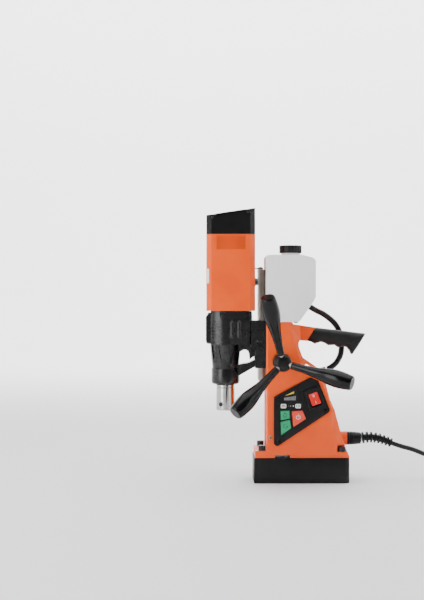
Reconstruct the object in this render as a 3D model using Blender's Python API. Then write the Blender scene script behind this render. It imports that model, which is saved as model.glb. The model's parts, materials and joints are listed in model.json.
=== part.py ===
"""A magnetic drill press: magnet base, cast housing with a rack feed, motor unit and coolant tank.

The origin is the centre of the magnet's underside. +Z is up, +X points to the rear handle, and -Y
is the side of the control panel and of the feed wheel. Sizes here are in millimetres. Each mesh is
scaled to metres when its object is made.
"""

import math

import bmesh
import bpy
from mathutils import Matrix, Vector

MM = 0.001
GAP = 0.3  # kept between pieces that touch or run in each other

# Magnet
MAGNET_LENGTH = 160.0
MAGNET_WIDTH = 80.0
MAGNET_HEIGHT = 42.0
MAGNET_REAR_RADIUS = 11.0
GROOVE_OUTSIDE = (140.0, 60.0)
GROOVE_INSIDE = (112.0, 32.0)
GROOVE_DEPTH = 30.0
POTTING_BOTTOM = 0.6

# Housing
HOUSING_BOTTOM = MAGNET_HEIGHT + GAP
HOUSING_HALF_WIDTH = 38.0
FOOT_HALF_WIDTH = 40.0
FOOT_TOP = 54.0
COLUMN_FRONT = -59.6
HOUSING_TOP = 268.7
BOLT_PLACES = ((-66.5, -33.0, FOOT_TOP), (-66.5, 33.0, FOOT_TOP), (66.5, -33.0, 52.0), (66.5, 33.0, 52.0))
BOLT_HEAD_RADIUS = 6.0
BOLT_HEAD_HEIGHT = 8.5
BOLT_SHANK_RADIUS = 3.4
BOLT_END = 34.5
CORD_HEIGHT = 71.0
CORD_BOSS_END = 78.5
HANDLE_CORE = ((5.0, 242.0), (17.0, 252.5), (90.0, 243.0), (86.0, 234.5))

# Slide and rack feed
PLATE_FRONT = -72.0
PLATE_BACK = -64.0
PLATE_HALF_WIDTH = 26.0
PLATE_BOTTOM = 170.2
PLATE_TOP = 357.7
TONGUE_BACK = -52.0
TONGUE_NARROW = 14.0
TONGUE_WIDE = 20.0
FEED_X = -34.1
FEED_Z = 202.6
FEED_MODULE = 1.5
FEED_TEETH = 18
RACK_BACK = -57.0
RACK_HALF_WIDTH = 6.0
RACK_TEETH_BELOW = 6
RACK_TEETH_ABOVE = 32
PINION_BORE = 15.6
SHAFT_RADIUS = 8.0
SPOKE_ANGLES = (104.5, 224.5, 344.5)
SPOKE_TILT = 25.0
SPOKE_LENGTH = 122.5
SPOKE_CENTRE_Y = -75.2

# Gear train, on upright shafts
ARMATURE = (-118.7, 0.0)
SPINDLE = (-127.1, 0.0)
SPINDLE_MODULE = 1.25
MOTOR_MODULE = 1.0
WHEEL_TEETH = 28
LAYSHAFT_PINION_TEETH = 12
ARMATURE_PINION_TEETH = 10
SPINDLE_GEAR_LEVEL = (240.0, 254.0)
MOTOR_GEAR_LEVEL = (261.0, 271.0)

# Gear housing and motor
GEAR_HOUSING_X = (-152.4, -86.5)
GEAR_HOUSING_Z = (231.0, 287.0)
GEAR_HOUSING_HALF_WIDTH = 36.0
MOTOR_X = (-159.5, -77.8)
MOTOR_HALF_WIDTH = 39.0
MOTOR_CORNER = 8.5
MOTOR_Z = (287.3, 415.5)
CAP_BOTTOM = 415.8
CAP_TOP_FRONT = 447.2
CAP_TOP_REAR = 459.3
WALL = 4.0

# Spindle arbor: a 19.05 mm bore for annular cutters
ARBOR_RADIUS = 15.6
ARBOR_BOTTOM = 119.1
ARBOR_TOP = 162.0
ARBOR_BORE = 9.525
ARBOR_BORE_DEPTH = 50.0
SET_SCREW_HEIGHT = 129.5
SET_SCREW_ANGLES = (238.0, 328.0)

# Coolant tank
TANK_X = (-56.0, 23.0)
TANK_HALF_WIDTH = 40.0
TANK_BOTTOM = 269.0
TANK_TOP = 381.0
TANK_WALL = 2.5
NECK_X = -16.7
TANK_OUTLET = (-9.0, -20.0)

# Control panel, on the housing's -Y face
PANEL_FRONT = -41.0
PANEL_BACK = -HOUSING_HALF_WIDTH - GAP
PANEL_OUTLINE = (
    (-45.8, 144.5, 4.0), (14.0, 177.0, 4.0), (27.0, 171.0, 4.0),
    (47.0, 120.5, 5.0), (-42.0, 61.5, 4.0), (-45.8, 67.0, 3.0),
)
PANEL_SCREWS = ((-39.5, 142.0), (40.0, 122.0), (-39.0, 69.5))
BUTTONS = {
    "forward_button": ((-36.0, 121.0), (-21.5, 121.5), (-20.6, 108.5), (-35.6, 105.5)),
    "reverse_button": ((-35.6, 102.5), (-20.6, 106.0), (-18.4, 92.5), (-35.0, 80.5)),
    "stop_button": ((-17.3, 120.5), (0.8, 121.3), (6.0, 108.0), (-14.8, 94.0)),
}
BUTTON_FRONT = -42.2
BUTTON_BACK = -37.0
ROCKER_CENTRE = (20.7, 140.7)
ROCKER_TILT = 19.5
ROCKER_REST = -8.0

# Cords: hand-chosen points along each route
MAINS_DIAMETER = 8.0
MAINS_ROUTE = (
    (154.9, 0.0, 62.7), (172.0, -1.0, 57.0), (190.0, -4.0, 52.3), (206.0, -9.0, 46.4),
    (222.0, -17.0, 41.2), (237.0, -26.5, 37.6), (249.0, -35.0, 36.0),
)
COIL_CENTRE = (278.0, 0.0)
COIL_RADII = (29.7, 54.4)
COIL_HEIGHT = 30.4
LEAD_ROUTE = (
    (289.0, -58.4, 4.4), (300.0, -60.6, 4.4), (312.0, -60.6, 4.5), (325.0, -57.5, 5.0),
    (336.0, -51.5, 7.2), (344.6, -43.0, 12.0), (348.9, -33.0, 16.2), (349.5, -23.2, 16.9),
)
PLUG_PLACE = (349.5, -22.0, 17.0)
MOTOR_CABLE_DIAMETER = 10.0
MOTOR_CABLE_ROUTE = (
    (-72.3, 44.5, 337.0), (-67.5, 48.6, 337.2), (-60.0, 52.0, 337.0), (-48.0, 53.0, 335.5),
    (-30.0, 50.5, 330.5), (-8.0, 48.0, 319.0), (8.0, 46.8, 306.0), (19.0, 46.2, 295.0),
    (31.5, 44.0, 287.0), (43.5, 41.0, 281.0), (57.0, 36.5, 270.5), (66.5, 33.0, 258.5),
    (72.0, 30.0, 243.0), (73.0, 27.5, 224.0), (70.8, 25.5, 210.5), (64.5, 23.5, 199.0),
    (56.6, 22.2, 191.6), (48.3, 22.0, 186.7),
)


# Building blocks


def clear_scene():
    for item in list(bpy.data.objects):
        bpy.data.objects.remove(item, do_unlink=True)


def surface(name, colour, roughness, metallic=0.0):
    """A plain Principled BSDF material."""
    material = bpy.data.materials.new(name)
    material.use_nodes = True
    shader = material.node_tree.nodes["Principled BSDF"]
    shader.inputs["Base Color"].default_value = (*colour, 1.0)
    shader.inputs["Roughness"].default_value = roughness
    shader.inputs["Metallic"].default_value = metallic
    return material


def pivot(name, place, parent=None):
    """An empty on a joint's axis. The pieces that the joint moves hang from it."""
    empty = bpy.data.objects.new(name, None)
    bpy.context.scene.collection.objects.link(empty)
    empty["place"] = place
    empty.parent = parent
    origin = Vector(parent["place"]) if parent else Vector()
    empty.location = (Vector(place) - origin) * MM
    return empty


def make_object(name, mesh, parent):
    """Turn a bmesh in millimetres, in its place, into an object in metres under its pivot."""
    origin = Vector(parent["place"]) if parent else Vector()
    bmesh.ops.translate(mesh, verts=mesh.verts, vec=-origin)
    bmesh.ops.scale(mesh, verts=mesh.verts, vec=(MM, MM, MM))
    bmesh.ops.recalc_face_normals(mesh, faces=mesh.faces)
    data = bpy.data.meshes.new(name)
    mesh.to_mesh(data)
    mesh.free()
    item = bpy.data.objects.new(name, data)
    bpy.context.scene.collection.objects.link(item)
    item.parent = parent
    return item


def solid(name, mesh, material, parent=None):
    """One piece of the object."""
    item = make_object(name, mesh, parent)
    item.data.materials.append(material)
    item.data.shade_smooth()
    item.data.set_sharp_from_angle(angle=math.radians(30))
    return item


def change(item, mesh, operation):
    """Give a piece a Boolean with a hidden tool."""
    tool = make_object(f"{item.name}_tool_{len(item.modifiers) + 1}", mesh, item.parent)
    tool.hide_render = True
    tool.display_type = "WIRE"
    boolean = item.modifiers.new(operation.title(), "BOOLEAN")
    boolean.operation = operation
    boolean.solver = "EXACT"
    boolean.object = tool
    return tool


def cut(item, *meshes):
    for mesh in meshes:
        change(item, mesh, "DIFFERENCE")


def fuse(item, *meshes):
    for mesh in meshes:
        change(item, mesh, "UNION")


def in_plane(axis, first, second, along):
    """A point from two coordinates across an axis and one along it."""
    order = {"X": (along, first, second), "Y": (first, along, second), "Z": (first, second, along)}
    return order[axis]


def prism(outline, axis, low, high):
    """An outline across an axis, extruded along it. A level is a number or a function of the point."""
    mesh = bmesh.new()
    ends = []
    for level in (low, high):
        heights = [level(*point) if callable(level) else level for point in outline]
        ends.append([mesh.verts.new(in_plane(axis, *p, h)) for p, h in zip(outline, heights)])
    mesh.faces.new(ends[0])
    mesh.faces.new(reversed(ends[1]))
    for index in range(len(outline)):
        mesh.faces.new((ends[0][index - 1], ends[0][index], ends[1][index], ends[1][index - 1]))
    return mesh


def ring_prism(outside, inside, low, high):
    """An upright prism between two outlines with the same number of points."""
    mesh = bmesh.new()
    loops = [
        [mesh.verts.new((x, y, z)) for x, y in outline]
        for outline, z in ((outside, low), (outside, high), (inside, high), (inside, low))
    ]
    for number in range(4):
        one, two = loops[number - 1], loops[number]
        for index in range(len(one)):
            mesh.faces.new((one[index - 1], one[index], two[index], two[index - 1]))
    return mesh


def block(x, y, z):
    """A box from three (low, high) pairs."""
    corners = [(x[0], y[0]), (x[1], y[0]), (x[1], y[1]), (x[0], y[1])]
    return prism(corners, "Z", *z)


def turned(profile, place=(0, 0, 0), direction=(0, 0, 1), sides=24, ring=False):
    """A turned solid from (radius, height) points. A ring's profile closes on itself."""
    mesh = bmesh.new()
    loops = []
    for radius, height in profile:
        turns = [math.tau * step / sides for step in range(sides)] if radius else [0.0]
        loops.append([mesh.verts.new((radius * math.cos(a), radius * math.sin(a), height)) for a in turns])
    pairs = list(zip(loops, loops[1:]))
    if ring:
        pairs.append((loops[-1], loops[0]))
    for one, two in pairs:
        for step in range(sides):
            walk = ((one, step), (one, step + 1), (two, step + 1), (two, step))
            corners = [loop[spot % len(loop)] for loop, spot in walk]
            mesh.faces.new(list(dict.fromkeys(corners)))
    if not ring:
        for loop in (loops[0], loops[-1]):
            if len(loop) > 1:
                mesh.faces.new(loop)
    turn = Vector(direction).to_track_quat("Z", "Y").to_matrix().to_4x4()
    bmesh.ops.transform(mesh, matrix=Matrix.Translation(place) @ turn, verts=mesh.verts)
    return mesh


def rod(radius, start, end, sides=16):
    """A plain round bar between two points."""
    along = Vector(end) - Vector(start)
    return turned([(radius, 0.0), (radius, along.length)], start, along, sides)


def rounded(corners, steps=4):
    """An outline whose corners with a third number, a radius, are rounded."""
    points = []
    for index, corner in enumerate(corners):
        here = Vector(corner[:2])
        if len(corner) == 2:
            points.append(tuple(here))
            continue
        back = (Vector(corners[index - 1][:2]) - here).normalized()
        ahead = (Vector(corners[(index + 1) % len(corners)][:2]) - here).normalized()
        half = back.angle(ahead) / 2
        centre = here + (back + ahead).normalized() * corner[2] / math.sin(half)
        start = here + back * corner[2] / math.tan(half) - centre
        sweep = start.angle_signed(here + ahead * corner[2] / math.tan(half) - centre)
        for step in range(steps + 1):
            points.append(tuple(centre + Matrix.Rotation(-sweep * step / steps, 2) @ start))
    return points


def stadium(length, width, steps=8):
    """An oval with straight sides, along X."""
    radius = width / 2
    far = length / 2 - radius
    points = []
    for side, start in ((1, -90), (-1, 90)):
        for step in range(steps + 1):
            angle = math.radians(start + 180 * step / steps)
            points.append((side * far + radius * math.cos(angle), radius * math.sin(angle)))
    return points


def grown(outline, distance):
    """A convex outline moved outwards by a distance."""
    centre = sum((Vector(p) for p in outline), Vector((0, 0))) / len(outline)
    lines = []
    for index, point in enumerate(outline):
        start, end = Vector(outline[index - 1]), Vector(point)
        normal = (end - start).orthogonal().normalized()
        if normal.dot(start - centre) < 0:
            normal = -normal
        lines.append((normal, normal.dot(start) + distance))
    points = []
    for index, (normal, offset) in enumerate(lines):
        following, next_offset = lines[(index + 1) % len(lines)]
        corner = Matrix((normal, following)).inverted() @ Vector((offset, next_offset))
        points.append(tuple(corner))
    return points


def chamfered_box(x, half_width, corner):
    """A rectangle across Z, X low to high, with its corners cut."""
    low, high = x
    inner = half_width - corner
    return [
        (low + corner, -half_width), (high - corner, -half_width), (high, -inner), (high, inner),
        (high - corner, half_width), (low + corner, half_width), (low, inner), (low, -inner),
    ]


def gear_outline(centre, teeth, module, tooth_angle, play=0.85):
    """A spur gear with involute flanks in three points, thinned so that a pair runs free."""
    pitch, base = module * teeth / 2, module * teeth / 2 * math.cos(math.radians(20))
    involute = lambda angle: math.tan(angle) - angle
    widest = play * math.pi / (2 * teeth) + involute(math.radians(20))
    sides = []
    for radius in (pitch - 1.25 * module, pitch, pitch + module):
        opening = math.acos(min(1.0, base / radius))
        sides.append((radius, widest - involute(opening)))
    points = []
    for tooth in range(teeth):
        middle = tooth_angle + math.tau * tooth / teeth
        flank = [(r, middle - half) for r, half in sides]
        flank += [(r, middle + half) for r, half in reversed(sides)]
        points += [(centre[0] + r * math.cos(a), centre[1] + r * math.sin(a)) for r, a in flank]
    return points


def smooth_route(points, spacing):
    """Points at an even spacing along a smooth curve through a route's own points."""
    knots = [Vector(point) for point in points]
    knots = [2 * knots[0] - knots[1], *knots, 2 * knots[-1] - knots[-2]]
    fine = []
    for before, start, end, after in zip(knots, knots[1:], knots[2:], knots[3:]):
        for step in range(16):
            t = step / 16
            a = 2 * start + (end - before) * t
            b = (2 * before - 5 * start + 4 * end - after) * t * t
            c = (3 * start - before - 3 * end + after) * t * t * t
            fine.append((a + b + c) / 2)
    fine.append(knots[-2])
    route, travelled = [fine[0]], 0.0
    for one, two in zip(fine, fine[1:]):
        travelled += (two - one).length
        if travelled >= spacing:
            route.append(two)
            travelled = 0.0
    if travelled < spacing / 2:
        route.pop()
    return route + [fine[-1]]


def cable(name, points, diameter, material):
    """A round cable along a smooth route."""
    curve = bpy.data.curves.new(name, "CURVE")
    curve.dimensions = "3D"
    curve.bevel_depth = diameter / 2 * MM
    curve.bevel_resolution = 2
    curve.use_fill_caps = True
    route = smooth_route(points, 1.6 * diameter)
    spline = curve.splines.new("POLY")
    spline.points.add(len(route) - 1)
    for spot, place in zip(spline.points, route):
        spot.co = (*(place * MM), 1.0)
    curve.materials.append(material)
    item = bpy.data.objects.new(name, curve)
    bpy.context.scene.collection.objects.link(item)


def panel_place(across, along):
    """A point of the housing's side from the rocker switch's own directions."""
    angle = math.radians(ROCKER_TILT)
    x = ROCKER_CENTRE[0] + across * math.cos(angle) - along * math.sin(angle)
    z = ROCKER_CENTRE[1] + across * math.sin(angle) + along * math.cos(angle)
    return (x, z)


def rocker_quad(width, length):
    """A rectangle round the rocker switch's centre."""
    w, l = width / 2, length / 2
    return [panel_place(-w, -l), panel_place(w, -l), panel_place(w, l), panel_place(-w, l)]


# Magnet


def build_magnet(black, resin):
    length, width = MAGNET_LENGTH / 2, MAGNET_WIDTH / 2
    radius = MAGNET_REAR_RADIUS
    outline = rounded([
        (-length, -width, 1.5), (length, -width, radius), (length, width, radius), (-length, width, 1.5),
    ])
    magnet = solid("magnet_body", prism(outline, "Z", 0.0, MAGNET_HEIGHT), black)
    cut(magnet, ring_prism(stadium(*GROOVE_OUTSIDE), stadium(*GROOVE_INSIDE), -1.0, GROOVE_DEPTH))
    for x, y, _ in BOLT_PLACES:
        cut(magnet, rod(BOLT_SHANK_RADIUS + GAP, (x, y, BOLT_END - 0.5), (x, y, MAGNET_HEIGHT + 1), 12))
    outside = stadium(*(size - 2 * GAP for size in GROOVE_OUTSIDE))
    inside = stadium(*(size + 2 * GAP for size in GROOVE_INSIDE))
    solid("potted_coil", ring_prism(outside, inside, POTTING_BOTTOM, GROOVE_DEPTH - GAP), resin)


def build_housing_bolts(black):
    for number, (x, y, seat) in enumerate(BOLT_PLACES, 1):
        low = seat + GAP
        profile = [
            (BOLT_SHANK_RADIUS, BOLT_END), (BOLT_SHANK_RADIUS, low), (BOLT_HEAD_RADIUS, low),
            (BOLT_HEAD_RADIUS, low + BOLT_HEAD_HEIGHT), (3.4, low + BOLT_HEAD_HEIGHT), (3.0, low + 4.5),
            (0.0, low + 4.5),
        ]
        solid(f"housing_bolt_{number}", turned(profile, (x, y, 0.0), sides=12), black)


# Housing


def build_housing(orange):
    low = HOUSING_BOTTOM
    foot = [(-78.0, low), (79.5, low), (79.0, 44.5), (75.5, FOOT_TOP), (-78.0, FOOT_TOP)]
    body = [
        (COLUMN_FRONT, 50.0), (76.8, 50.0), (64.5, 86.0), (60.6, 101.0), (54.6, 122.5), (47.0, 139.0),
        (39.5, 167.5), (26.5, 192.5), (1.5, 209.5), (-5.0, 227.0), (-5.0, 234.0), (-1.0, 240.0),
        (-3.0, 262.5), (-14.0, 264.5), (-16.5, HOUSING_TOP), (COLUMN_FRONT, HOUSING_TOP),
    ]
    half = HOUSING_HALF_WIDTH
    housing = solid("housing", prism(body, "Y", -half, half), orange)
    fuse(housing, prism(foot, "Y", -FOOT_HALF_WIDTH, FOOT_HALF_WIDTH))
    fuse(housing, rod(11.5, (50.0, 0.0, CORD_HEIGHT), (CORD_BOSS_END, 0.0, CORD_HEIGHT), 24))
    root = [(-12.0, 264.5), (24.0, 259.0), (10.0, 236.5), (-12.0, 238.5)]
    fuse(housing, prism(root, "Y", -15.0, 15.0))
    fuse(housing, prism(HANDLE_CORE, "Y", -6.0, 6.0))
    cut_slideway(housing)
    cut_electronics(housing)
    cut_fixings(housing)


def cut_slideway(housing):
    """The dovetail slot, the rack's slot and the pinion's bore."""
    bottom, top = FOOT_TOP + GAP, HOUSING_TOP + 1.0
    slot = [
        (COLUMN_FRONT - 1.4, -14.4), (COLUMN_FRONT, -14.4), (-51.6, -20.5), (-51.6, 24.0),
        (COLUMN_FRONT, 18.2), (COLUMN_FRONT - 1.4, 18.2),
    ]
    cut(housing, prism(slot, "Z", bottom, top))
    cut(housing, block((-53.0, -45.4), (-6.4, 6.4), (bottom + 0.2, top + 1.0)))
    reach = HOUSING_HALF_WIDTH + 1.0
    cut(housing, rod(PINION_BORE, (FEED_X, -reach, FEED_Z), (FEED_X, reach, FEED_Z), 32))


def cut_electronics(housing):
    """The space behind the control panel and the way in for the mains cord."""
    front = -HOUSING_HALF_WIDTH - 1.0
    pocket = [
        (-37.8, 76.0), (-37.8, 136.0), (4.0, 158.0), (25.0, 165.0), (38.5, 129.0), (8.0, 99.0), (-16.0, 82.0),
    ]
    cut(housing, prism(pocket, "Y", front, -5.0))
    cut(housing, block((-37.5, 28.0), (-7.0, 32.0), (66.0, 150.0)))
    cut(housing, rod(6.0, (20.0, 0.0, CORD_HEIGHT), (CORD_BOSS_END + 1.0, 0.0, CORD_HEIGHT), 16))


def cut_fixings(housing):
    """Bolt holes and their rear pockets, the strap slot, the window, screw holes."""
    for x, y, seat in BOLT_PLACES:
        cut(housing, rod(BOLT_SHANK_RADIUS + GAP, (x, y, HOUSING_BOTTOM - 1), (x, y, seat + 1), 12))
    for side in (-1, 1):
        across = sorted((side * 24.0, side * 42.0))
        cut(housing, block((58.5, 82.0), across, (52.0, 63.5)))
    cut(housing, block((-45.0, -20.0), (-42.0, 42.0), (HOUSING_BOTTOM - 1.0, 47.5)))
    window = rounded([(4.0, 201.0, 3.0), (27.0, 186.5, 3.0), (31.0, 178.0, 2.0), (23.0, 176.5, 2.0),
                      (14.0, 183.0, 3.0), (5.0, 182.0, 2.0)], 2)
    cut(housing, prism(window, "Y", -40.0, 40.0))
    front = -HOUSING_HALF_WIDTH
    for x, z in PANEL_SCREWS:
        cut(housing, rod(1.7, (x, front - 1.0, z), (x, front + 7.0, z), 8))
    cut(housing, rod(1.5, (-52.6, front - 1.0, 75.8), (-52.6, front + 6.0, 75.8), 8))


def build_handle_grip(rubber):
    outline = [
        (24.3, 259.0), (60.0, 255.0), (100.0, 250.0), (108.0, 246.5), (97.0, 227.0), (88.5, 213.8),
        (85.0, 213.0), (83.5, 219.0), (79.0, 225.0), (74.5, 226.5), (63.0, 225.0), (58.0, 229.0),
        (47.0, 228.5), (41.0, 232.5), (34.0, 234.5), (24.5, 231.0), (17.0, 235.0), (10.5, 236.4),
    ]
    grip = solid("handle_grip", prism(outline, "Y", -15.0, 15.0), rubber)
    cut(grip, prism(grown(HANDLE_CORE, GAP), "Y", -6.0 - GAP, 6.0 + GAP))


def build_slideway_parts(steel, black):
    """The gib strip that takes up the slide's play and the bushes of the pinion shaft."""
    strip = [(-59.2, 15.0), (-52.1, 20.5), (-52.1, 23.2), (-59.2, 17.9)]
    solid("gib_strip", prism(strip, "Z", 60.0, 266.0), steel)
    for name, start, end in (("front", -37.7, -26.0), ("rear", 26.0, 37.7)):
        bore = SHAFT_RADIUS + GAP
        profile = [(bore, 0.0), (15.3, 0.0), (15.3, end - start), (bore, end - start)]
        bush = turned(profile, (FEED_X, start, FEED_Z), (0, 1, 0), 24, ring=True)
        solid(f"pinion_bush_{name}", bush, black)


# Control panel


def build_control_panel(black, green, red, steel, dark):
    front, back = PANEL_FRONT, PANEL_BACK
    panel = solid("control_panel", prism(rounded(PANEL_OUTLINE, 3), "Y", front, back), black)
    for outline in BUTTONS.values():
        cut(panel, prism(grown(outline, 0.4), "Y", front - 1.0, back + 1.0))
    cut(panel, prism(rocker_quad(21.6, 27.6), "Y", front - 1.0, back + 1.0))
    for number, (x, z) in enumerate(PANEL_SCREWS, 1):
        cut(panel, rod(1.7, (x, front - 1.0, z), (x, back + 1.0, z), 8))
        profile = [(0.0, 0.0), (2.6, 0.3), (3.0, 1.3), (1.4, 1.3), (1.4, 9.0), (0.0, 9.0)]
        screw = turned(profile, (x, front - 1.3 - GAP, z), (0, 1, 0), 10)
        solid(f"panel_screw_{number}", screw, steel)
    build_rocker(black, red)
    for name, outline in BUTTONS.items():
        centre = sum((Vector(p) for p in outline), Vector((0, 0))) / len(outline)
        joint = pivot(name + "_pivot", (centre.x, BUTTON_FRONT, centre.y))
        colour = red if name == "stop_button" else green
        solid(name, prism(outline, "Y", BUTTON_FRONT, BUTTON_BACK), colour, joint)
    solid("control_module", block((-34.0, 24.0), (-3.0, 28.0), (74.0, 146.0)), dark)


def build_rocker(black, red):
    bezel_front = -45.5
    bezel = solid("rocker_bezel", prism(rocker_quad(27.5, 37.3), "Y", bezel_front, PANEL_FRONT - GAP), black)
    fuse(bezel, prism(rocker_quad(21.0, 27.0), "Y", PANEL_FRONT - 2.0, -33.0))
    cut(bezel, prism(rocker_quad(16.8, 22.3), "Y", bezel_front - 1.0, -32.0))
    axis_y = PANEL_FRONT
    joint = pivot("rocker_pivot", (ROCKER_CENTRE[0], axis_y, ROCKER_CENTRE[1]))
    profile = [(-10.0, 7.0), (0.0, 5.6), (10.0, 7.0), (10.0, -1.0), (6.0, -5.0), (-6.0, -5.0), (-10.0, -1.0)]
    mesh = bmesh.new()
    tilt = Matrix.Rotation(math.radians(ROCKER_REST), 2)
    ends = []
    for across in (-7.9, 7.9):
        loop = []
        for along, out in (tilt @ Vector(point) for point in profile):
            x, z = panel_place(across, along)
            loop.append(mesh.verts.new((x, axis_y - out, z)))
        ends.append(loop)
    mesh.faces.new(ends[0])
    mesh.faces.new(reversed(ends[1]))
    for index in range(len(profile)):
        mesh.faces.new((ends[0][index - 1], ends[0][index], ends[1][index], ends[1][index - 1]))
    solid("rocker", mesh, red, joint)


# Coolant tank


def build_tank(plastic, black, dark):
    low, high = TANK_X
    half, wall = TANK_HALF_WIDTH, TANK_WALL
    outline = [
        (low, TANK_BOTTOM), (-4.5, TANK_BOTTOM), (18.5, 302.0), (high, 311.0), (high, 371.0), (18.5, 376.0),
        (0.0, TANK_TOP), (low, TANK_TOP),
    ]
    tank = solid("coolant_tank", prism(outline, "Y", -half, half), plastic)
    fuse(tank, turned([(15.5, TANK_TOP - 2.0), (15.5, 393.0)], (NECK_X, 0.0, 0.0), sides=24))
    cut(tank, block((low - 1.0, -43.0), (-23.0, 23.0), (TANK_BOTTOM - 1.0, TANK_TOP + 1.0)))
    inside = [
        (low + wall, TANK_BOTTOM + wall), (-5.9, TANK_BOTTOM + wall), (16.3, 303.4), (high - wall, 311.8),
        (high - wall, 369.6), (17.3, 373.8), (-0.4, TANK_TOP - wall), (low + wall, TANK_TOP - wall),
    ]
    hollow = change(tank, prism(inside, "Y", wall - half, half - wall), "DIFFERENCE")
    cut(hollow, block((low, -43.0 + wall), (-23.0 - wall, 23.0 + wall), (TANK_BOTTOM, TANK_TOP)))
    cut(tank, rod(12.5, (NECK_X, 0.0, TANK_TOP - 6.0), (NECK_X, 0.0, 394.0), 24))
    x, y = TANK_OUTLET
    cut(tank, rod(3.0, (x, y, TANK_BOTTOM - 1.0), (x, y, TANK_BOTTOM + 5.0), 12))
    outlet = [(3.6, 266.9), (3.6, 268.7), (2.7, 268.7), (2.7, 273.0), (1.5, 273.0), (1.5, 266.9)]
    solid("tank_outlet", turned(outlet, (x, y, 0.0), sides=12, ring=True), dark)
    liner_joint = pivot("cap_lift", (NECK_X, 0.0, 393.5))
    liner = turned([(15.0, 393.4), (15.0, 395.0)], (NECK_X, 0.0, 0.0), sides=20)
    solid("cap_liner", liner, dark, liner_joint)
    cap_joint = pivot("cap_turn", (NECK_X, 0.0, 385.0), liner_joint)
    cap = [
        (0.0, 395.4), (16.0, 395.4), (16.0, 385.0), (19.0, 385.0), (19.0, 397.0), (18.0, 398.0), (0.0, 398.0),
    ]
    solid("tank_cap", turned(cap, (NECK_X, 0.0, 0.0), sides=32), black, cap_joint)


# Slide, bracket and feed


def build_slide(steel, joint):
    plate = block((PLATE_FRONT, PLATE_BACK), (-PLATE_HALF_WIDTH, PLATE_HALF_WIDTH), (PLATE_BOTTOM, PLATE_TOP))
    slide = solid("slide_plate", plate, steel, joint)
    narrow, wide = TONGUE_NARROW, TONGUE_WIDE
    tongue = [
        (PLATE_BACK - 1.0, -narrow), (COLUMN_FRONT - GAP, -narrow), (TONGUE_BACK, -wide),
        (TONGUE_BACK, wide), (COLUMN_FRONT - GAP, narrow), (PLATE_BACK - 1.0, narrow),
    ]
    fuse(slide, prism(tongue, "Z", PLATE_BOTTOM + 1.0, PLATE_TOP - 1.0))
    groove = RACK_HALF_WIDTH + GAP
    depth = (RACK_BACK - GAP, TONGUE_BACK + 1.0)
    cut(slide, block(depth, (-groove, groove), (PLATE_BOTTOM - 1.0, PLATE_TOP + 1.0)))
    solid("rack", prism(rack_outline(), "Y", -RACK_HALF_WIDTH, RACK_HALF_WIDTH), steel, joint)


def rack_outline():
    """The rack's side view, with a tooth at the pinion's height."""
    module = FEED_MODULE
    pitch_line = FEED_X - module * FEED_TEETH / 2
    slope = math.tan(math.radians(20))
    half = 0.85 * math.pi * module / 4
    levels = [(-1.25 * module, half + 1.25 * module * slope), (module, half - module * slope)]
    low = FEED_Z - (RACK_TEETH_BELOW + 0.5) * math.pi * module
    high = FEED_Z + (RACK_TEETH_ABOVE + 0.5) * math.pi * module
    root = pitch_line - 1.25 * module
    points = [(RACK_BACK, high), (RACK_BACK, low), (root, low)]
    for tooth in range(-RACK_TEETH_BELOW, RACK_TEETH_ABOVE + 1):
        middle = FEED_Z + tooth * math.pi * module
        points += [(pitch_line + out, middle - wide) for out, wide in levels]
        points += [(pitch_line + out, middle + wide) for out, wide in reversed(levels)]
    return points + [(root, high)]


def build_bracket(casting, steel, joint):
    """The casting between the slide and the motor unit, and the bolt through its side."""
    front, back = GEAR_HOUSING_X[1] + GAP, PLATE_FRONT - GAP
    top = 271.3
    block_outline = [(front, top), (back, top), (back, 191.0), (-77.5, 191.0), (-79.5, 223.0), (front, 231.0)]
    bracket = solid("motor_bracket", prism(block_outline, "Y", -26.0, 26.0), casting, joint)
    for side in (-1, 1):
        cheek = [(-77.5, side * 25.0), (-77.5, side * 32.0), (-60.8, side * 32.0), (-60.8, side * 26.4),
                 (PLATE_FRONT - 0.6, side * 26.4), (PLATE_FRONT - 0.6, side * 25.0)]
        fuse(bracket, prism(cheek, "Z", 191.5, top - 0.5))
    arm = [(-102.6, 178.5), (-102.6, 197.0), (-87.0, 200.0), (-75.0, 206.0), (-75.0, 194.5), (-88.0, 187.0)]
    arch = [(-100.7, 230.7), (-86.0, 230.7), (-79.0, 223.0), (-79.0, 212.0), (-86.5, 213.0), (-87.5, 218.0),
            (-91.0, 220.8), (-97.0, 221.2), (-100.7, 219.5)]
    fuse(bracket, prism(arm, "Y", -12.0, 12.0))
    fuse(bracket, prism(arch, "Y", -12.0, 12.0))
    fuse(bracket, rod(8.3, (-73.8, -35.0, 233.6), (-73.8, -27.0, 233.6), 20))
    cut(bracket, rod(2.6, (-73.8, -36.0, 233.6), (-73.8, -28.5, 233.6), 10))
    profile = [(0.0, 0.0), (4.5, 0.0), (4.5, 3.5), (2.3, 3.5), (2.3, 9.0), (0.0, 9.0)]
    solid("bracket_bolt", turned(profile, (-73.8, -38.8, 233.6), (0, 1, 0), 12), steel, joint)


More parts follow.
